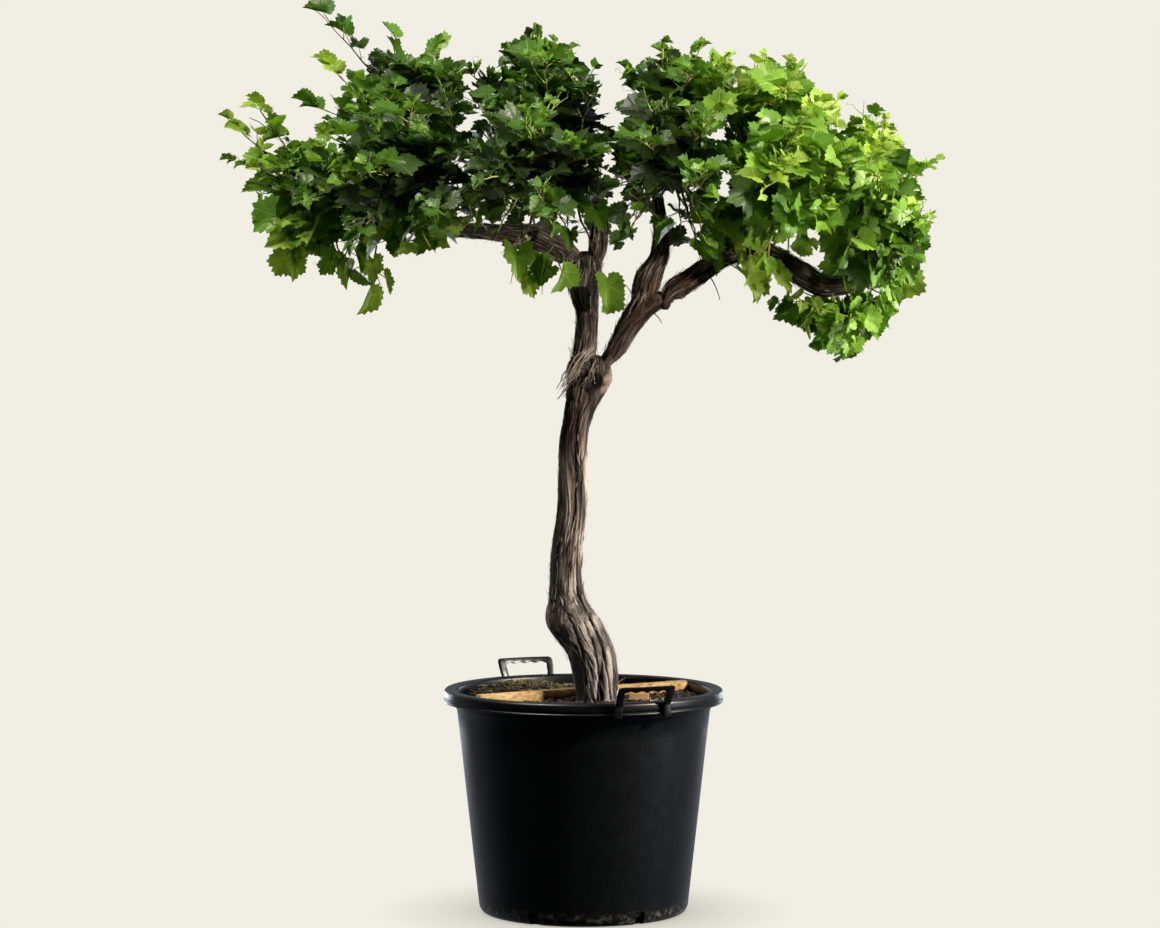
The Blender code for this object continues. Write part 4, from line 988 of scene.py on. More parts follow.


# Lumps of old wood, as (limb, place, radius, height); a negative height makes a hollow, painted dark as shade by its
# depth.
BURLS = (
    ("trunk", (0.052, -0.030, 1.046), 0.030, 0.008),
    ("trunk", (-0.060, -0.050, 0.585), 0.040, 0.006),
    ("trunk", (0.020, -0.040, 1.030), 0.022, 0.005),
    ("trunk", (0.004, -0.036, 0.700), 0.026, 0.003),
    ("left_stem", (-0.028, -0.020, 1.235), 0.022, 0.006),
    ("left_stem", (0.020, -0.028, 1.255), 0.020, 0.004),
    ("left_bough", (-0.100, -0.044, 1.332), 0.020, 0.007),
    ("upright_bough", (0.105, -0.020, 1.240), 0.022, 0.006),
    ("right_stem", (0.110, -0.030, 1.170), 0.024, 0.005),
    ("right_bough", (0.196, -0.040, 1.236), 0.018, 0.004),
    ("right_bough_end", (0.430, -0.080, 1.262), 0.026, 0.007),
    ("trunk", (0.021, -0.036, 1.040), 0.013, -0.009),
    ("trunk", (-0.022, -0.034, 1.046), 0.010, -0.005),
)
# Where the bark is off: old wounds, as (limb, place, reach across, reach along).
WOUNDS = (("trunk", (0.004, -0.034, 1.011), 0.010, 0.016),)
# Cracks on the trunk's front, each as its (x, z) points from top to bottom and its depth; the depth sinks the bark and
# also paints shade into the crack.
CRACKS = (
    (((-0.014, 0.660), (-0.010, 0.632), (0.013, 0.585), (0.037, 0.536), (0.044, 0.487), (0.052, 0.430)), 0.006),
    (((0.002, 0.645), (0.008, 0.620), (0.020, 0.600)), 0.004),
    (((-0.030, 0.590), (-0.016, 0.560), (-0.004, 0.520), (0.004, 0.470), (0.008, 0.430)), 0.004),
    (((0.018, 0.545), (0.026, 0.505), (0.030, 0.465), (0.028, 0.425)), 0.004),
    (((-0.012, 0.990), (-0.016, 0.900), (-0.014, 0.840), (-0.020, 0.760)), 0.003),
    (((0.010, 0.950), (-0.002, 0.880), (-0.004, 0.820), (-0.012, 0.720), (-0.012, 0.660)), 0.002),
)
CRACK_WIDTH = 0.0020
# Pale raised plates, and sunk spots painted dark as shade, on the trunk's front: x, z, reach across, reach along and
# how much higher or lower.
SPOTS = (
    (0.047, 0.462, 0.008, 0.050, 0.70), (0.024, 0.470, 0.005, 0.035, 0.45), (0.012, 0.575, 0.018, 0.026, 0.28),
    (-0.010, 0.490, 0.010, 0.055, -0.34), (-0.040, 0.545, 0.014, 0.020, -0.30), (0.036, 0.450, 0.004, 0.040, -0.60),
    (0.004, 0.890, 0.008, 0.070, 0.24), (-0.006, 0.740, 0.008, 0.050, 0.20), (-0.024, 0.640, 0.014, 0.030, 0.16),
    (0.018, 0.985, 0.006, 0.030, -0.20), (0.016, 0.660, 0.006, 0.030, -0.22), (0.000, 1.060, 0.012, 0.014, -0.25),
    (0.044, 1.047, 0.007, 0.009, 0.55), (0.052, 1.062, 0.005, 0.007, 0.50), (0.040, 1.028, 0.006, 0.007, 0.45),
    (0.058, 1.040, 0.005, 0.010, 0.40), (0.026, 1.046, 0.008, 0.012, -0.60), (0.050, 1.034, 0.003, 0.008, -0.50),
)
# Bundles of frayed bark: where they hold, how far they fall and drift, how many and how far they spread.
FRAYS = (
    (0.014, 1.104, (-0.050, -0.084), 44, 0.011),
    (-0.010, 1.098, (-0.034, -0.064), 22, 0.008),
    (0.024, 1.082, (-0.024, -0.052), 12, 0.007),
    (-0.014, 1.290, (-0.020, -0.055), 12, 0.010),
    (0.116, 1.215, (-0.024, -0.050), 10, 0.010),
    (-0.120, 1.318, (-0.045, -0.028), 8, 0.008),
)
# How much of the furrows shows at each height of the trunk: plates at the foot and the fork, fine fibres between.
FURROW_SHARE = ((0.40, 1.0), (0.55, 0.75), (0.64, 0.30), (0.98, 0.30), (1.05, 0.80), (1.30, 0.70))
# Where the trunk's strings end and its smooth, finely grained foot begins, and over what height.
FOOT_TOP = 0.68
FOOT_RANGE = 0.10


def crack_depth(place):
    """How deep the trunk's named cracks are at a place on its front."""
    deep = 0.0
    for line, depth in CRACKS:
        for (x1, z1), (x2, z2) in zip(line, line[1:]):
            if z2 - 0.006 <= place.z <= z1 + 0.006:
                share = min(max((z1 - place.z) / (z1 - z2), 0.0), 1.0)
                bend = 0.0016 * noise.noise(Vector((depth * 900.0, 0.0, place.z * 60.0)))
                away = (place.x - x1 - (x2 - x1) * share - bend) / CRACK_WIDTH
                fade = min(1.0, 8.0 * min(line[0][1] - place.z + 0.006, place.z - line[-1][1] + 0.02) / 0.10)
                deep = max(deep, depth * math.exp(-away * away) * max(fade, 0.0))
    return deep


def spot_height(place):
    """How much higher the trunk's relief value is at a place on its front, or lower."""
    total = 0.0
    for x, z, across, along, amount in SPOTS:
        away = ((place.x - x) / across) ** 2 + ((place.z - z) / along) ** 2
        total += 1.4 * amount * max(0.0, 1.0 - away * 0.5)
    return total


def bark_relief(name, angle, reach, travelled, furrows):
    """How far the bark stands out, from 0 in a furrow to 1 on a plate: plates that run along the limb and wander."""
    seed = 7.0 * len(name)
    lean = 0.7 * noise.noise(Vector((travelled * 4.0, seed, 0.0))) + travelled * 1.3
    wander = 0.0028 * noise.noise(Vector((travelled * 14.0, math.cos(angle) * 2.0, math.sin(angle) * 2.0 + seed)))
    turned = angle + lean + wander / reach
    x, y = math.cos(turned) * reach, math.sin(turned) * reach
    plates = noise.noise(Vector((x * 95.0, y * 95.0, travelled * 5.0 + seed)))
    furrow = max(0.0, 1.0 - abs(plates) * 8.0)
    cracks = noise.noise(Vector((x * 230.0, y * 230.0, travelled * 9.0 + seed)))
    crack = max(0.0, 1.0 - abs(cracks) * 5.0)
    fibre = noise.noise(Vector((x * 420.0, y * 420.0, travelled * 14.0)))
    broad = noise.noise(Vector((x * 45.0, y * 45.0, travelled * 6.0 + 40.0)))
    foot = 0.0
    if name == "trunk":
        foot = min(max((FOOT_TOP - TRUNK_FOOT - travelled) / FOOT_RANGE, 0.0), 1.0)
        fibre = fibre * (1.0 - 0.6 * foot) + 0.5 * foot * noise.noise(Vector((x * 320.0, y * 320.0, travelled * 200.0)))
    high = 0.62 + 0.03 * foot + 0.34 * broad + 0.24 * fibre
    return high - 0.70 * furrows * furrow**0.8 * (1.0 - 0.35 * foot) - (0.12 + 0.20 * furrows) * crack * (1.0 - 0.5 * foot)


def sections_of(name, rows):
    """A limb's sections, carried on inside the limbs at both ends so that no step shows."""
    frames = section_frames(name, rings_of(rows, BARK_STEP))
    first, last = frames[0], frames[-1]
    sections = []
    if name != "trunk":
        for index in range(TUCK_RINGS):
            share = 1.0 - index / TUCK_RINGS
            scale = 1.0 - BARK_TUCK * share * share
            centre = first[0] - first[5] * (BARK_OVERRUN * share)
            sections.append((centre, first[1] * scale, first[2] * scale, *first[3:6], -BARK_OVERRUN * share))
    sections += frames
    is_tip = name in ("left_head", "upright_bough", "left_bough", "right_bough_end")
    run = 0.006 if is_tip or name == "right_bough" else BARK_SHOULDER
    for index in range(1, TUCK_RINGS + 1):
        share = index / TUCK_RINGS
        scale = math.sqrt(max(1.0 - (share * 0.97) ** 2, 0.0))
        centre = last[0] + last[5] * (run * share)
        sections.append((centre, last[1] * scale, last[2] * scale, *last[3:6], last[6] + run * share))
    return sections


def bark(look, scar_look):
    """The bark of every limb, as one closed skin each. Gives back a search tree of each."""
    trees = {}
    for name, rows in LIMBS.items():
        sides = BARK_SIDES if name == "trunk" else BOUGH_SIDES
        sections = sections_of(name, rows)
        points, relief, grain = [], [], []
        count = len(sections)
        burls = [(Vector(place), radius, height) for limb, place, radius, height in BURLS if limb == name]
        wounds = [(Vector(place), across, along) for limb, place, across, along in WOUNDS if limb == name]
        bare = set()
        for centre, half_width, half_depth, width_axis, depth_axis, normal, travelled in sections:
            reach = (half_width + half_depth) / 2
            furrows = along_edge(FURROW_SHARE, centre.z)
            for side in range(sides):
                angle = math.tau * side / sides
                swell = 1.0 + FURROW_DEPTH * math.cos(FURROWS * angle + FURROW_TURN * travelled)
                high = bark_relief(name, angle, max(reach, 0.008), travelled, furrows)
                way = width_axis * (half_width * math.cos(angle)) + depth_axis * (half_depth * math.sin(angle))
                place = centre + way * swell
                off = 0.0
                for wound, across, along in wounds:
                    gap = place - wound
                    away = (gap.x / across) ** 2 + (gap.z / along) ** 2
                    if away < 1.0 and place.y < centre.y:
                        bare.add(len(points))
                        off = max(off, min(1.0, 3.0 * (1.0 - away)))
                lift = (high - BARK_MIDDLE) * min(BARK_RELIEF, reach * 0.17) * (1.0 - off) - 0.0035 * off
                if name == "trunk" and place.y < centre.y:
                    deep, spot = crack_depth(place), spot_height(place)
                    lift += spot * 0.006 - deep
                    # Cracks and dark spots lower the relief value, which paints shade into them; pale spots raise it.
                    high += spot - deep * 220.0
                for burl, radius, height in burls:
                    away = (place - burl).length / radius
                    if away < 1.0:
                        lift += height * (1.0 - away * away) ** 2
                        # A hollow lowers the relief value by its depth: painted shade.
                        high += min(height, 0.0) * 90.0 * (1.0 - away * away)
                points.append(place + way.normalized() * lift)
                relief.append(high)
                grain.append((math.cos(angle) * reach, math.sin(angle) * reach, travelled))
        faces = []
        for ring in range(count - 1):
            for side in range(sides):
                following = (side + 1) % sides
                low, up = ring * sides, (ring + 1) * sides
                faces.append((low + side, low + following, up + following, up + side))
        faces.append(tuple(range(sides - 1, -1, -1)))
        faces.append(tuple(range((count - 1) * sides, count * sides)))
        data = arrays_mesh(name + "_bark", np.array([p[:] for p in points]), faces)
        give_values(data, "relief", relief)
        give_values(data, "grain", grain)
        made = piece(name + "_bark", data, look, (name,))
        if bare:
            made.data.materials.append(scar_look)
            for face in made.data.polygons:
                if all(corner in bare for corner in face.vertices):
                    face.material_index = 1
        trees[name] = BVHTree.FromPolygons(points, faces)
    return trees


def give_values(data, name, values):
    """One number or one vector for each point of a mesh, under a name that its material reads."""
    values = np.array(values, np.float32)
    if values.ndim == 1:
        data.attributes.new(name, "FLOAT", "POINT").data.foreach_set("value", values)
    else:
        data.attributes.new(name, "FLOAT_VECTOR", "POINT").data.foreach_set("vector", values.ravel())


def strip(frames, begin, run, angle, drift, width, lift, from_end):
    """The points of one narrow strip that lies along a limb and lifts at one end, or none where it runs off."""
    points = []
    for step in range(run):
        if not 0 <= begin + step < len(frames):
            break
        centre, half_width, half_depth, width_axis, depth_axis, normal, travelled = frames[begin + step]
        share = step / (run - 1)
        raised = (share if from_end else 1.0 - share) ** 2.5
        at = angle + drift * share
        swell = 1.0 + FURROW_DEPTH * math.cos(FURROWS * at + FURROW_TURN * travelled)
        way = width_axis * (half_width * math.cos(at)) + depth_axis * (half_depth * math.sin(at))
        out = way.normalized()
        across = normal.cross(out)
        middle = centre + way * swell + out * (lift * raised - 0.0006)
        half = width * (0.25 + 0.75 * math.sin(math.pi * min(max(share, 0.05), 0.95)))
        points += [middle - across * half, middle + out * 0.0006, middle + across * half]
    return points if len(points) >= 9 else []


def peeling_strips(look):
    """Narrow strips and threads of old bark that lift from the wood, thickest at the burls and the forks."""
    rng = random.Random("strips")
    points, faces, grain, relief = [], [], [], []
    for name, rows in LIMBS.items():
        frames = section_frames(name, rings_of(rows, BARK_STEP))
        near = [Vector(place) for limb, place, _, _ in BURLS if limb == name]
        for index in range(len(frames)):
            centre = frames[index][0]
            shaggy = centre.z > 1.0 or any((centre - burl).length < 0.06 for burl in near)
            for _ in range(3 if shaggy else 1):
                run = rng.randrange(4, 18)
                lift = rng.uniform(0.0004, 0.003) * (3.0 if shaggy and rng.random() < 0.3 else 1.0)
                width = rng.uniform(0.0004, 0.0020)
                new = strip(
                    frames, index, run, rng.uniform(0, math.tau), rng.uniform(-0.25, 0.25), width, lift,
                    rng.random() < 0.6,
                )
                base = len(points)
                points += new
                tone = rng.uniform(0.35, 0.95)
                relief += [tone] * len(new)
                grain += [(point.x, point.y, point.z + index) for point in new]
                for step in range(len(new) // 3 - 1):
                    a = base + 3 * step
                    faces += [(a, a + 1, a + 4, a + 3), (a + 1, a + 2, a + 5, a + 4)]
    data = arrays_mesh("bark_strips", np.array([p[:] for p in points]), faces)
    give_values(data, "relief", relief)
    give_values(data, "grain", grain)
    piece("bark_strips", data, look)


def pruning_scar(look, collar_look):
    """The round scar of a cut spur on the left bough: a pale raised collar round dark dry wood."""
    middle = Vector(SCAR_PLACE)
    way = Vector(SCAR_WAY).normalized()
    turn = way.to_track_quat("Z", "X").to_matrix().to_4x4()
    turn.translation = middle
    for name, outer, inner, low, top, made_look in (
        ("scar_collar", 0.0110, 0.0072, -0.006, 0.0045, collar_look), ("scar_wood", 0.0080, 0.0, -0.006, 0.0004, look),
    ):
        profile = [(0.0, low), (outer * 1.2, low), (outer, top * 0.4), ((outer + inner) / 2, top)]
        profile += [(inner, top * 0.3)] if inner else []
        profile += [(0.0, 0.0 if inner else top * 0.5)]
        form = spun(profile, 28)
        for point in form.verts:
            wobble = 1.0 + 0.16 * noise.noise(point.co * 260.0)
            point.co = Vector((point.co.x * wobble, point.co.y * wobble * 0.85, point.co.z))
        bmesh.ops.transform(form, matrix=turn, verts=form.verts)
        piece(name, mesh_of(name, form, 50.0), made_look)


# Growth


def bowed(start, lean, end, spans):
    """Points on a curve that leaves its start along lean and comes to its end."""
    pull = start + lean * (0.45 * (end - start).length)
    points = []
    for index in range(spans + 1):
        share = index / spans
        points.append(start * (1 - share) ** 2 + pull * (2 * share * (1 - share)) + end * share**2)
    return points


def kinked(points, rng, amount):
    """The line with a small zigzag, as a shoot that bends at each node."""
    out = [points[0]]
    for index, point in enumerate(points[1:], 1):
        side = (1 if index % 2 else -1) * amount
        out.append(point + Vector([rng.uniform(-0.5, 0.5) * amount for _ in range(3)]) + Vector((side, side * 0.5, 0)))
    return out


def at_length(points, length):
    for first, second in zip(points, points[1:]):
        span = (second - first).length
        if length <= span:
            return first.lerp(second, length / span), (second - first) / span
        length -= span
    return points[-1].copy(), (points[-1] - points[-2]).normalized()


def line_length(points):
    return sum((second - first).length for first, second in zip(points, points[1:]))


def tubes_mesh(name, lines, sides):
    """Many tapering tubes as one mesh. Each line is (points, first radius, last radius)."""
    points, faces = [], []
    for line, first_radius, last_radius in lines:
        base = len(points)
        way = (line[1] - line[0]).normalized()
        across = min((Vector((1, 0, 0)), Vector((0, 1, 0)), Vector((0, 0, 1))), key=lambda axis: abs(axis.dot(way)))
        for index, centre in enumerate(line):
            before = line[max(index - 1, 0)]
            after = line[min(index + 1, len(line) - 1)]
            way = (after - before).normalized()
            across = (across - way * way.dot(across)).normalized()
            other = way.cross(across)
            radius = first_radius + (last_radius - first_radius) * index / (len(line) - 1)
            for side in range(sides):
                angle = math.tau * side / sides
                points.append(centre + (across * math.cos(angle) + other * math.sin(angle)) * radius)
        for ring in range(len(line) - 1):
            for side in range(sides):
                following = (side + 1) % sides
                low, up = base + ring * sides, base + (ring + 1) * sides
                faces.append((low + side, low + following, up + following, up + side))
        faces.append(tuple(range(base + sides - 1, base - 1, -1)))
        top = base + (len(line) - 1) * sides
        faces.append(tuple(range(top, top + sides)))
    return arrays_mesh(name, np.array([p[:] for p in points]), faces)


def nearness(name, point):
    middle, reach = FOLIAGE[name][3], FOLIAGE[name][4]
    return math.sqrt(sum(((p - m) / r) ** 2 for p, m, r in zip(point, middle, reach)))


def owner(point):
    return min(FOLIAGE, key=lambda name: nearness(name, point))


def inside(low, point, high):
    return all(a < p < b for a, p, b in zip(low, point, high))


def in_clearing(point):
    return any(inside(low, point, high) for low, high in CLEARINGS)


def along_edge(edge, x):
    """The height of the crown's edge above a place."""
    for first, second in zip(edge, edge[1:]):
        if first[0] <= x <= second[0]:
            return first[1] + (second[1] - first[1]) * (x - first[0]) / (second[0] - first[0])
    return edge[0][1] if x < edge[0][0] else edge[-1][1]


def in_outline(point, slack):
    """Whether a point shows inside the crown's edge from the front."""
    share = -CAMERA_PLACE[1] / (point.y - CAMERA_PLACE[1])
    x = CAMERA_PLACE[0] + (point.x - CAMERA_PLACE[0]) * share
    z = CAMERA_PLACE[2] + (point.z - CAMERA_PLACE[2]) * share
    return along_edge(CROWN_FOOT, x) - slack < z < along_edge(CROWN_TOP, x) + slack


def away_from_crown(point):
    offset = point - CROWN_MIDDLE
    return Vector([o / (r * r) for o, r in zip(offset, CROWN_REACH)]).normalized()


def even_direction(index, count, spin):
    height = 1.0 - 2.0 * (index + 0.5) / count
    level = math.sqrt(1.0 - height * height)
    angle = spin + index * math.pi * (3.0 - math.sqrt(5.0))
    return Vector((level * math.cos(angle), level * math.sin(angle), height))


class Growth:
    """All that grows: lines of stems, shoots, stalks and tendrils, and the leaves by their green."""

    def __init__(self, limb_trees):
        self.limb_trees = limb_trees
        self.stems = []
        self.shoots = []
        self.stalks = []
        self.tendrils = []
        self.leaves = {name: [] for name in GREENS}
        self.taken = {}

    def cell(self, point):
        return tuple(int(math.floor(p / CROWD_CELL)) for p in point)

    def crowded(self, point, closest):
        home = self.cell(point)
        for dx in (-1, 0, 1):
            for dy in (-1, 0, 1):
                for dz in (-1, 0, 1):
                    for other in self.taken.get((home[0] + dx, home[1] + dy, home[2] + dz), ()):
                        if (other - point).length < closest:
                            return True
        return False

    def take(self, point):
        self.taken.setdefault(self.cell(point), []).append(point.copy())

    def near_limb(self, point, clearance):
        for tree in self.limb_trees.values():
            place, normal, _, away = tree.find_nearest(point, clearance + 0.05)
            if place is not None and (away < clearance or (point - place).dot(normal) < 0.0):
                return True
        return False

    def through_limb(self, points):
        """Whether a line of points passes through any limb, apart from its start."""
        for first, second in zip(points[1:], points[2:]):
            way = second - first
            for tree in self.limb_trees.values():
                if tree.ray_cast(first, way.normalized(), way.length)[0] is not None:
                    return True
        return False


def green_of(place, young, spray_tone_and_light, rng):
    """The green of a leaf, by its spray, its age and how far it stands in the sun, which is painted in: lighter across
    the crown's sunny parts and towards its top.
    """
    outward = away_from_crown(place)
    sun = along_edge(SUN_ACROSS, place.x) + 0.10 * outward.z
    value = sun + spray_tone_and_light + YOUNG_SHARE * young + rng.uniform(-0.07, 0.07)
    names = list(GREENS)
    return names[min(max(int(value * len(names)), 0), len(names) - 1)]


def shaken(rng, amount):
    return Vector([rng.uniform(-1.0, 1.0) for _ in range(3)]) * amount


def leaves_on(name, points, rng, growth, leads, spray_tone_and_light, limit, scale=1.0):
    """Leaves that alternate along a shoot, from its tip back, each on its own stalk."""
    total = line_length(points)
    side_sign = rng.choice((-1.0, 1.0))
    at = total - 0.003
    count = 0
    free = leads and not in_outline(points[-1], 0.0)
    hangs = leads and points[-1].z < points[0].z - 0.02
    first = total - HANGING_LEAFY if hangs else FIRST_LEAF
    while at > first:
        place, along = at_length(points, at)
        out = away_from_crown(place)
        side = along.cross(Vector((0, 0, 1)))
        if side.length < 0.2:
            side = along.cross(Vector((1, 0, 0)))
        side.normalize()
        young = 1.0 - min((total - at) / (0.22 if leads else 0.11), 1.0)
        if hangs:
            young *= 0.25
        smallest = 0.64 if free else 0.42
        hang = min(max((HANG_BELOW - place.z) / HANG_RANGE, 0.0), 1.0)
        for attempt in range(LEAF_TRIES):
            shake = shaken(rng, 0.30 + 0.06 * attempt)
            stalk_way = side * side_sign * 0.75 + out * 0.40 + Vector((0, 0, 0.45 - 0.55 * hang)) + shake
            if young > 0.85:
                stalk_way = along + shake * 0.7
            stalk_way.normalize()
            length = rng.triangular(*LEAF_LENGTHS) * scale * (1.0 - (1.0 - smallest) * young)
            if leads:
                length *= 1.0 + HANGING_SWELL * hang
            stalk = length * rng.uniform(*STALK_SHARE)
            joint = place + stalk_way * stalk
            level = Vector((stalk_way.x, stalk_way.y, 0.0)) + out * 0.4
            axis = level.normalized() * (1.0 - 0.55 * hang) + Vector((0, 0, 0.25 - 0.75 * rng.random() - 0.7 * hang))
            axis = (axis + shake * 0.5 + stalk_way * 0.5 * young).normalized()
            turned = 0.45 + (-0.10 if hangs else 0.35) * hang
            front = Vector((0.10, math.copysign(turned, place.y + 0.05), 0.0))
            face = out * 0.45 + front + SUNWARD * 0.45 + Vector((0, 0, 0.40 * (1.0 - hang))) + shaken(rng, 1.00 if hangs else 0.70)
            face = (face - axis * face.dot(axis)).normalized()
            middle = joint + axis * (length * 0.30)
            tip = joint + axis * length
            good = inside(CROWN_LOW, tip, CROWN_HIGH) and inside(CROWN_LOW, joint, CROWN_HIGH)
            good = good and not in_clearing(middle) and not in_clearing(tip)
            good = good and (free or (in_outline(tip, limit) and in_outline(joint, limit)))
            good = good and (free or (owner(middle) == name and (leads or nearness(name, middle) < MASS_EDGE)))
            good = good and not growth.crowded(middle, CLOSEST_LEAVES * (1.0 - 0.5 * young))
            if good and not growth.near_limb(middle, LIMB_CLEARANCE) and not growth.near_limb(tip, 0.004):
                growth.take(middle)
                fold = rng.uniform(0.05, 0.35) if rng.random() < 0.6 else rng.uniform(0.35, 0.85)
                fold += 0.5 * young * young + (0.35 if hangs else 0.0)
                droop = rng.uniform(0.05, 0.55)
                curl = rng.uniform(-0.10, 0.45)
                wave = rng.uniform(0.03, 0.13)
                phase = rng.uniform(0, math.tau)
                depth = rng.uniform(0.05, 0.95)
                green = green_of(joint, young, spray_tone_and_light, rng)
                growth.leaves[green].append((*joint, *axis, *face, length, droop, fold, wave, phase, curl, depth))
                lift = (stalk_way + Vector((0, 0, 0.3))).normalized()
                line = bowed(place, lift, joint, 3)
                thick = STALK_RADIUS * (0.5 + 0.7 * length / LEAF_LENGTHS[1])
                growth.stalks.append((line, thick, thick * 0.7))
                break
        side_sign = -side_sign
        count += 1
        step = 0.98 if free else 1.0 - 0.50 * young
        at -= LEAF_SPACING * step * rng.uniform(0.85, 1.15)
        if count % 3 == 0 and rng.random() < 0.30:
            tendril(place, (side * -side_sign + out * 0.6).normalized(), rng, growth)


def tendril(place, way, rng, growth):
    """A thin curling thread from a node of a shoot."""
    points = []
    across = way.orthogonal().normalized()
    other = way.cross(across)
    turns = rng.uniform(1.0, 2.4)
    length = rng.uniform(0.03, 0.07)
    steps = 16
    for index in range(steps + 1):
        share = index / steps
        angle = turns * math.tau * share * share
        curl = across * math.cos(angle) + other * math.sin(angle)
        points.append(place + way * (length * math.sin(share * 1.4)) + curl * (0.006 * share))
    if inside(CROWN_LOW, points[-1], CROWN_HIGH) and not in_clearing(points[-1]) and in_outline(points[-1], 0.01):
        growth.tendrils.append((points, 0.0007, 0.0003))


def laterals_on(name, line, rng, growth, leads, spray_tone_and_light, limit):
    """Short side shoots with small young leaves."""
    total = line_length(line)
    for _ in range(1 if leads else LATERALS):
        place, along = at_length(line, total * rng.uniform(0.30, 0.92))
        out = away_from_crown(place)
        way = (along * 0.4 + out * 0.6 + Vector((0, 0, 0.25)) + shaken(rng, 0.7)).normalized()
        end = place + way * rng.uniform(*LATERAL_LENGTHS)
        short = kinked(bowed(place, (way + along).normalized(), end, 4), rng, 0.0015)
        good = in_outline(end, limit - 0.01) and not in_clearing(end) and owner(end) == name
        if good and inside(CROWN_LOW, end, CROWN_HIGH) and not growth.through_limb(short):
            growth.shoots.append((short, SHOOT_RADII[1] * 1.1, SHOOT_RADII[1] * 0.6))
            leaves_on(name, short, rng, growth, False, spray_tone_and_light + rng.uniform(0.0, 0.10), limit, 0.80)


def grow_mass(name, growth):
    """One mass, by the source's rule: a stem, shoots to even ways and to named tips, and leaves along them."""
    limb_name, spot, lean, middle, reach, shoot_count, lead_tips = FOLIAGE[name]
    rng = random.Random(name)
    lean = Vector(lean).normalized()
    middle = Vector(middle)
    spot = Vector(spot)
    hit, normal, _, _ = growth.limb_trees[limb_name].ray_cast(spot + lean * 0.2, -lean)
    stem_line = bowed(hit - normal * 0.004, lean, middle, STEM_SPANS)
    growth.stems.append((stem_line, *STEM_RADII))
    stem_length = line_length(stem_line)
    spin = rng.uniform(0.0, math.tau)
    tips = [(Vector(tip), True) for tip in lead_tips + MORE_TIPS.get(name, ())]
    total = round(shoot_count * SHOOTS_PER_SOLID_SHOOT)
    for index in range(total):
        way = even_direction(index, total, spin)
        tips.append((middle + Vector([w * r for w, r in zip(way, reach)]), False))
    for tip, leads in tips:
        # Hanging shoots are dealt lighter greens: painted light for the sun that shines through their leaves.
        spray_tone_and_light = rng.uniform(-0.16, 0.16) + (HANGING_PAINTED_LIGHT if leads and tip.z < middle.z - 0.08 else 0.0)
        limit = 0.008 if leads else rng.uniform(*EDGE_PLAY)
        for attempt in range(SHOOT_TRIES):
            end = tip if leads else middle.lerp(tip, rng.uniform(0.84, 0.99) - 0.08 * attempt)
            start, stem_way = at_length(stem_line, stem_length * rng.uniform(0.25, 0.98))
            rise = 0.10 if leads else 0.35
            shoot_lean = (stem_way * rise + (end - start).normalized() + Vector((0, 0, rise))).normalized()
            line = kinked(bowed(start, shoot_lean, end, SHOOT_SPANS), rng, 0.0018)
            ends_well = leads or (owner(end) == name and not in_clearing(end) and in_outline(end, limit))
            if ends_well and not growth.through_limb(line):
                radii = (SHOOT_RADII[0], LEAD_TIP_RADIUS if leads else SHOOT_RADII[1])
                (growth.stems if leads and end.x < 0.3 else growth.shoots).append((line, *radii))
                leaves_on(name, line, rng, growth, leads, spray_tone_and_light, limit)
                if not (leads and end.z < start.z):
                    laterals_on(name, line, rng, growth, leads, spray_tone_and_light, limit)
                break
    leaves_on(name, stem_line, rng, growth, False, 0.0, EDGE_PLAY[0])


def lobed(angle_deg, lobes):
    """The distance from the end of the stalk to the leaf's rim: full towards each lobe's tip, quick into each bay."""
    place = min(angle_deg / LOBE_STEP_DEG, len(lobes) - 1.0)
    low = min(int(place), len(lobes) - 2)
    share = place - low
    eased = share**1.5 if low % 2 == 0 else 1.0 - (1.0 - share) ** 1.5
    return lobes[low] + (lobes[low + 1] - lobes[low]) * eased


def leaf_template():
    """A leaf of length one in its own plane: bearings, lobed and round reach of each point, and the faces."""
    half = [index * RIM_STEP_DEG for index in range(RIM_HALF + 1)]
    bearings = half + [180.0] + [-angle for angle in half[:0:-1]]
    count = len(bearings)
    rim_lobed, rim_round = [], []
    for index, bearing in enumerate(bearings):
        tooth = 1.0 + (TOOTH if index % 2 == 0 else -TOOTH)
        if abs(bearing) == 180.0:
            rim_lobed.append(LEAF_FOOT)
            rim_round.append(LEAF_FOOT)
        else:
            rim_lobed.append(lobed(abs(bearing), LOBES) * tooth)
            rim_round.append(lobed(abs(bearing), ROUND_LOBES) * tooth)
    inner = list(range(0, count, 2))
    angles = [0.0] + [bearings[index] for index in inner] + bearings
    reach_lobed = [0.0] + [rim_lobed[index] * 0.52 for index in inner] + rim_lobed
    reach_round = [0.0] + [rim_round[index] * 0.52 for index in inner] + rim_round
    first_rim = 1 + len(inner)
    faces = []
    for number in range(len(inner)):
        following = (number + 1) % len(inner)
        faces.append((0, 1 + number, 1 + following))
        a = first_rim + inner[number]
        b = first_rim + (inner[number] + 1) % count
        c = first_rim + (inner[number] + 2) % count
        faces.append((1 + number, a, b, 1 + following))
        faces.append((1 + following, b, c))
    return np.radians(angles), np.array(reach_lobed), np.array(reach_round), faces


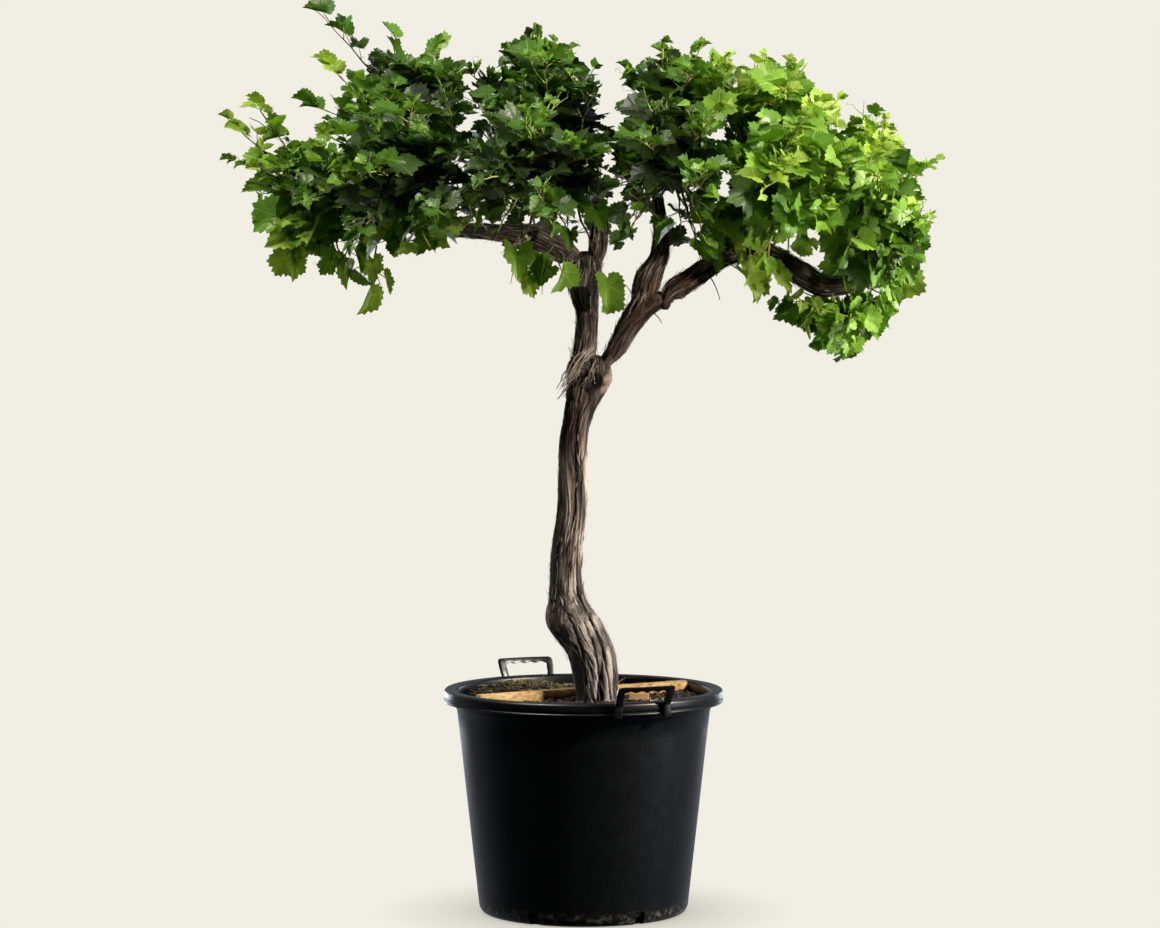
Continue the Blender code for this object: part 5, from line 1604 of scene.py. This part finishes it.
def leaves_mesh(name, rows):
    """All the leaves of one green as one mesh, each lobed, folded, bent and waved in its own way."""
    bearing, reach_lobed, reach_round, faces = leaf_template()
    data = np.array(rows)
    joint, axis, face = data[:, 0:3], data[:, 3:6], data[:, 6:9]
    size, droop, fold, wave, phase, curl, depth = (data[:, index : index + 1] for index in range(9, 16))
    across = np.cross(axis, face)
    radius = reach_round[None, :] + depth * (reach_lobed - reach_round)[None, :]
    x, y = radius * np.sin(bearing)[None, :], radius * np.cos(bearing)[None, :]
    vein = np.abs(np.sin(bearing * 3.33))[None, :]
    height = 0.12 * vein * radius * (1.0 - radius)
    height = height + wave * np.sin(3.0 * bearing[None, :] + phase) * radius**1.5
    height = height - droop * np.maximum(y, 0.0) ** 2 * 0.8 - curl * (x * x) * 0.5
    bend = np.clip(fold * 1.1, -0.4, 1.25)
    up = height + np.abs(x) * np.sin(bend)
    out = x * np.cos(bend) - np.sign(x) * height * np.sin(bend) * 0.3
    along = y * (1.0 - 0.20 * droop * np.maximum(y, 0.0))
    points = joint[:, None, :] + size[:, :, None] * (
        out[..., None] * across[:, None, :] + along[..., None] * axis[:, None, :] + up[..., None] * face[:, None, :]
    )
    count = len(bearing)
    all_faces = [tuple(corner + count * index for corner in one) for index in range(len(data)) for one in faces]
    uv = np.stack((x, y), axis=-1).reshape(-1, 2)
    return arrays_mesh(name, points.reshape(-1, 3), all_faces, uv)


def dry_twigs(look):
    """Dead canes and spurs that stand out of the old wood."""
    lines = []
    for start, end, radius in DRY_TWIGS:
        start, end = Vector(start), Vector(end)
        lines.append((bowed(start, (end - start).normalized() + Vector((0.15, 0, 0.1)), end, 5), radius, radius * 0.5))
    data = tubes_mesh("dry_twigs", lines, 6)
    give_values(data, "relief", [0.5] * len(data.vertices))
    give_values(data, "grain", [tuple(point.co) for point in data.vertices])
    piece("dry_twigs", data, look)


def front_of(limb_trees, x, z):
    """The foremost place on the bark at a spot seen from the front, or None."""
    hits = [tree.ray_cast(Vector((x, -0.5, z)), Vector((0, 1, 0)), 1.0)[0] for tree in limb_trees.values()]
    return min((hit for hit in hits if hit is not None), key=lambda hit: hit.y, default=None)


def frayed_bark(look, limb_trees):
    """Pale threads of old bark that hold at their upper ends and hang along the fork and the boughs."""
    rng = random.Random("frays")
    lines, tones = [], []
    for x, z, (drift, fall), count, spread in FRAYS:
        for _ in range(count):
            start = front_of(limb_trees, x + rng.uniform(-spread, spread), z + rng.uniform(-spread, spread))
            if start is None:
                continue
            reach = rng.uniform(0.45, 1.15)
            way = Vector((drift, -0.004, fall)) * reach + shaken(rng, spread * 0.8)
            stop = start + way
            below = front_of(limb_trees, stop.x, stop.z)
            stop.y = min(stop.y, start.y) if below is None else min(below.y - rng.uniform(0.000, 0.005), stop.y + 0.02)
            lean = (stop - start).normalized() + Vector((0.0, -0.35, 0.0)) + shaken(rng, 0.25)
            radius = rng.uniform(0.0006, 0.0017)
            start.y += 0.001
            lines.append((kinked(bowed(start, lean.normalized(), stop, 6), rng, 0.0012), radius, radius * 0.35))
            tones.append(rng.uniform(0.65, 1.25))
    data = tubes_mesh("frayed_bark", lines, 5)
    each = len(data.vertices) // len(lines)
    give_values(data, "relief", [tones[index // each] for index in range(len(data.vertices))])
    give_values(data, "grain", [tuple(point.co) for point in data.vertices])
    piece("frayed_bark", data, look)


def grow(limb_trees):
    growth = Growth(limb_trees)
    for name in FOLIAGE:
        grow_mass(name, growth)
    ripe = green_shoot("ripened_cane", "#3f3119", "#573c24")
    green = green_shoot("green_stalk", "#8aa844", "#8a7c3e")
    piece("cane_stems", tubes_mesh("cane_stems", growth.stems, 8), ripe, list(FOLIAGE))
    piece("green_shoots", tubes_mesh("green_shoots", growth.shoots, 6), green)
    piece("leaf_stalks", tubes_mesh("leaf_stalks", growth.stalks, 4), green)
    piece("tendrils", tubes_mesh("tendrils", growth.tendrils, 4), green)
    # One leaf material for each green: lit and shaded copies of the same leaf, with the light painted in.
    for name, hex_colour in GREENS.items():
        rows = growth.leaves[name]
        if rows:
            piece("leaves_" + name, leaves_mesh("leaves_" + name, rows), vine_leaf(name, hex_colour))


# Stage


def stage():
    """A flat cream studio: floor and backdrop of one tone, with a soft shade where the pot meets the floor."""
    form = bmesh.new()
    bmesh.ops.create_grid(form, x_segments=1, y_segments=1, size=60.0)
    floor = bpy.data.objects.new("floor", mesh_of("floor", form))
    floor.location.z = -0.0005
    bpy.context.scene.collection.objects.link(floor)
    made, tree, shader, place = material("cream_paper")
    shade = add(tree, "ShaderNodeAmbientOcclusion", {"samples": 8}, {"Distance": 0.22})
    soft = add(
        tree, "ShaderNodeMapRange", None, {"Value": shade.outputs["AO"], "From Min": 0.25, "To Min": 0.55}
    )
    glow = add(
        tree, "ShaderNodeEmission", None, {"Color": linear(CREAM), "Strength": soft.outputs["Result"]}
    )
    tree.links.new(glow.outputs["Emission"], tree.nodes["Material Output"].inputs["Surface"])
    floor.data.materials.append(made)
    for flag in ("visible_diffuse", "visible_glossy", "visible_transmission", "visible_shadow"):
        setattr(floor, flag, False)
    world = bpy.data.worlds.new("cream_studio")
    bpy.context.scene.world = world
    world.use_nodes = True
    tree = world.node_tree
    seen = add(tree, "ShaderNodeLightPath").outputs["Is Camera Ray"]
    backdrop = tree.nodes["Background"]
    backdrop.inputs["Color"].default_value = linear(CREAM)
    way = add(tree, "ShaderNodeSeparateXYZ", None, {"Vector": add(tree, "ShaderNodeTexCoord").outputs["Generated"]})
    behind = add(
        tree, "ShaderNodeMapRange", None,
        {"Value": way.outputs["Y"], "From Min": 0.0, "From Max": 0.9, "To Min": ROOM_LIGHT[0], "To Max": ROOM_LIGHT[1]},
    )
    soft_light = add(
        tree, "ShaderNodeBackground", None, {"Color": linear("#dfe6f2"), "Strength": behind.outputs["Result"]}
    )
    both = add(
        tree, "ShaderNodeMixShader", None, {0: seen, 1: soft_light.outputs["Background"], 2: backdrop.outputs["Background"]}
    )
    tree.links.new(both.outputs["Shader"], tree.nodes["World Output"].inputs["Surface"])


def aim(lamp, place, target):
    made = bpy.data.objects.new(lamp.name, lamp)
    made.location = place
    made.rotation_euler = (Vector(target) - Vector(place)).to_track_quat("-Z", "Y").to_euler()
    made.visible_camera = False
    bpy.context.scene.collection.objects.link(made)


def softbox(name, place, target, size, watts, colour):
    lamp = bpy.data.lights.new(name, "AREA")
    lamp.shape = "RECTANGLE"
    lamp.size, lamp.size_y = size
    lamp.energy = watts
    lamp.color = linear(colour)[:3]
    aim(lamp, place, target)


def lights():
    softbox("key", (3.1, -1.2, 2.25), (0.0, 0.0, 1.2), (0.4, 0.4), 290.0, "#fff7e8")
    softbox("trunk_window", (2.7, -1.0, 1.0), (0.0, 0.0, 0.9), (0.3, 0.5), 12.0, "#fff6ea")
    softbox("right_window", (2.9, -0.5, 0.45), (0.0, 0.0, 0.3), (0.4, 0.9), 11.5, "#d3e0f8")
    softbox("left_sky", (-1.5, -1.0, 3.5), (-0.35, 0.0, 1.4), (0.9, 0.9), 110.0, "#fbf6e6")
    softbox("left_edge", (-1.5, 2.7, 0.4), (0.0, 0.0, 0.3), (0.35, 0.8), 26.0, "#eaf1ff")
    softbox("right_edge", (1.4, 2.7, 0.4), (0.0, 0.0, 0.3), (0.35, 0.8), 12.0, "#eaf1ff")
    lamp = bpy.data.lights.new("stem_light", "SPOT")
    lamp.energy, lamp.spot_size, lamp.spot_blend, lamp.shadow_soft_size = 330.0, math.radians(15.0), 1.0, 0.12
    lamp.color = linear("#fff4e6")[:3]
    aim(lamp, (2.2, -2.4, 1.0), (0.03, 0.0, 1.19))


def camera():
    lens = bpy.data.cameras.new("photo_view")
    lens.sensor_width = SENSOR_MM
    lens.lens = SENSOR_MM * PHOTO_FOCAL_PX / PHOTO_WIDTH_PX
    lens.clip_end = 200.0
    made = bpy.data.objects.new("photo_view", lens)
    made.location = CAMERA_PLACE
    made.rotation_euler = (math.radians(90.0 - CAMERA_DIP_DEG), 0.0, 0.0)
    bpy.context.scene.collection.objects.link(made)
    bpy.context.scene.camera = made


def main():
    camera()
    stage()
    lights()
    bpy.context.scene.view_settings.view_transform = "Standard"
    plastic = moulded_polyethylene()
    pot(plastic)
    handle("grip_front", HANDLE_BEARING_DEG, plastic, "handle_front")
    handle("grip_back", HANDLE_BEARING_DEG + 180.0, plastic, "handle_back")
    mulch_look = crumbly("bark_mulch", 70.0, ("#0b0705", "#21150e", "#46301f"))
    straw_look = crumbly("dry_straw", 45.0, ("#6b5636", "#a08a5e", "#d0bd8d"))
    moss_look = crumbly("dry_moss", 60.0, ("#2a2c12", "#5d5c22", "#938a3e"))
    soil(moist_soil(), mulch_look, straw_look, moss_look)
    pine = sawn_pine(PLANK_TURN_DEG)
    timber("pine_plank", PLANK_SIZE, PLANK_PLACE, PLANK_TURN_DEG, pine, "plank", False)
    timber("pine_offcut", OFFCUT_SIZE, OFFCUT_PLACE, OFFCUT_TURN_DEG, pine, "offcut", True)
    old_bark = vine_bark()
    scar = cut_wood()
    trees = bark(old_bark, scar)
    peeling_strips(old_bark)
    pruning_scar(scar, crumbly("dry_callus", 150.0, ("#a08a70", "#d6c2a4", "#efe2c8")))
    dry_twigs(old_bark)
    frayed_bark(old_bark, trees)
    grow(trees)


main()
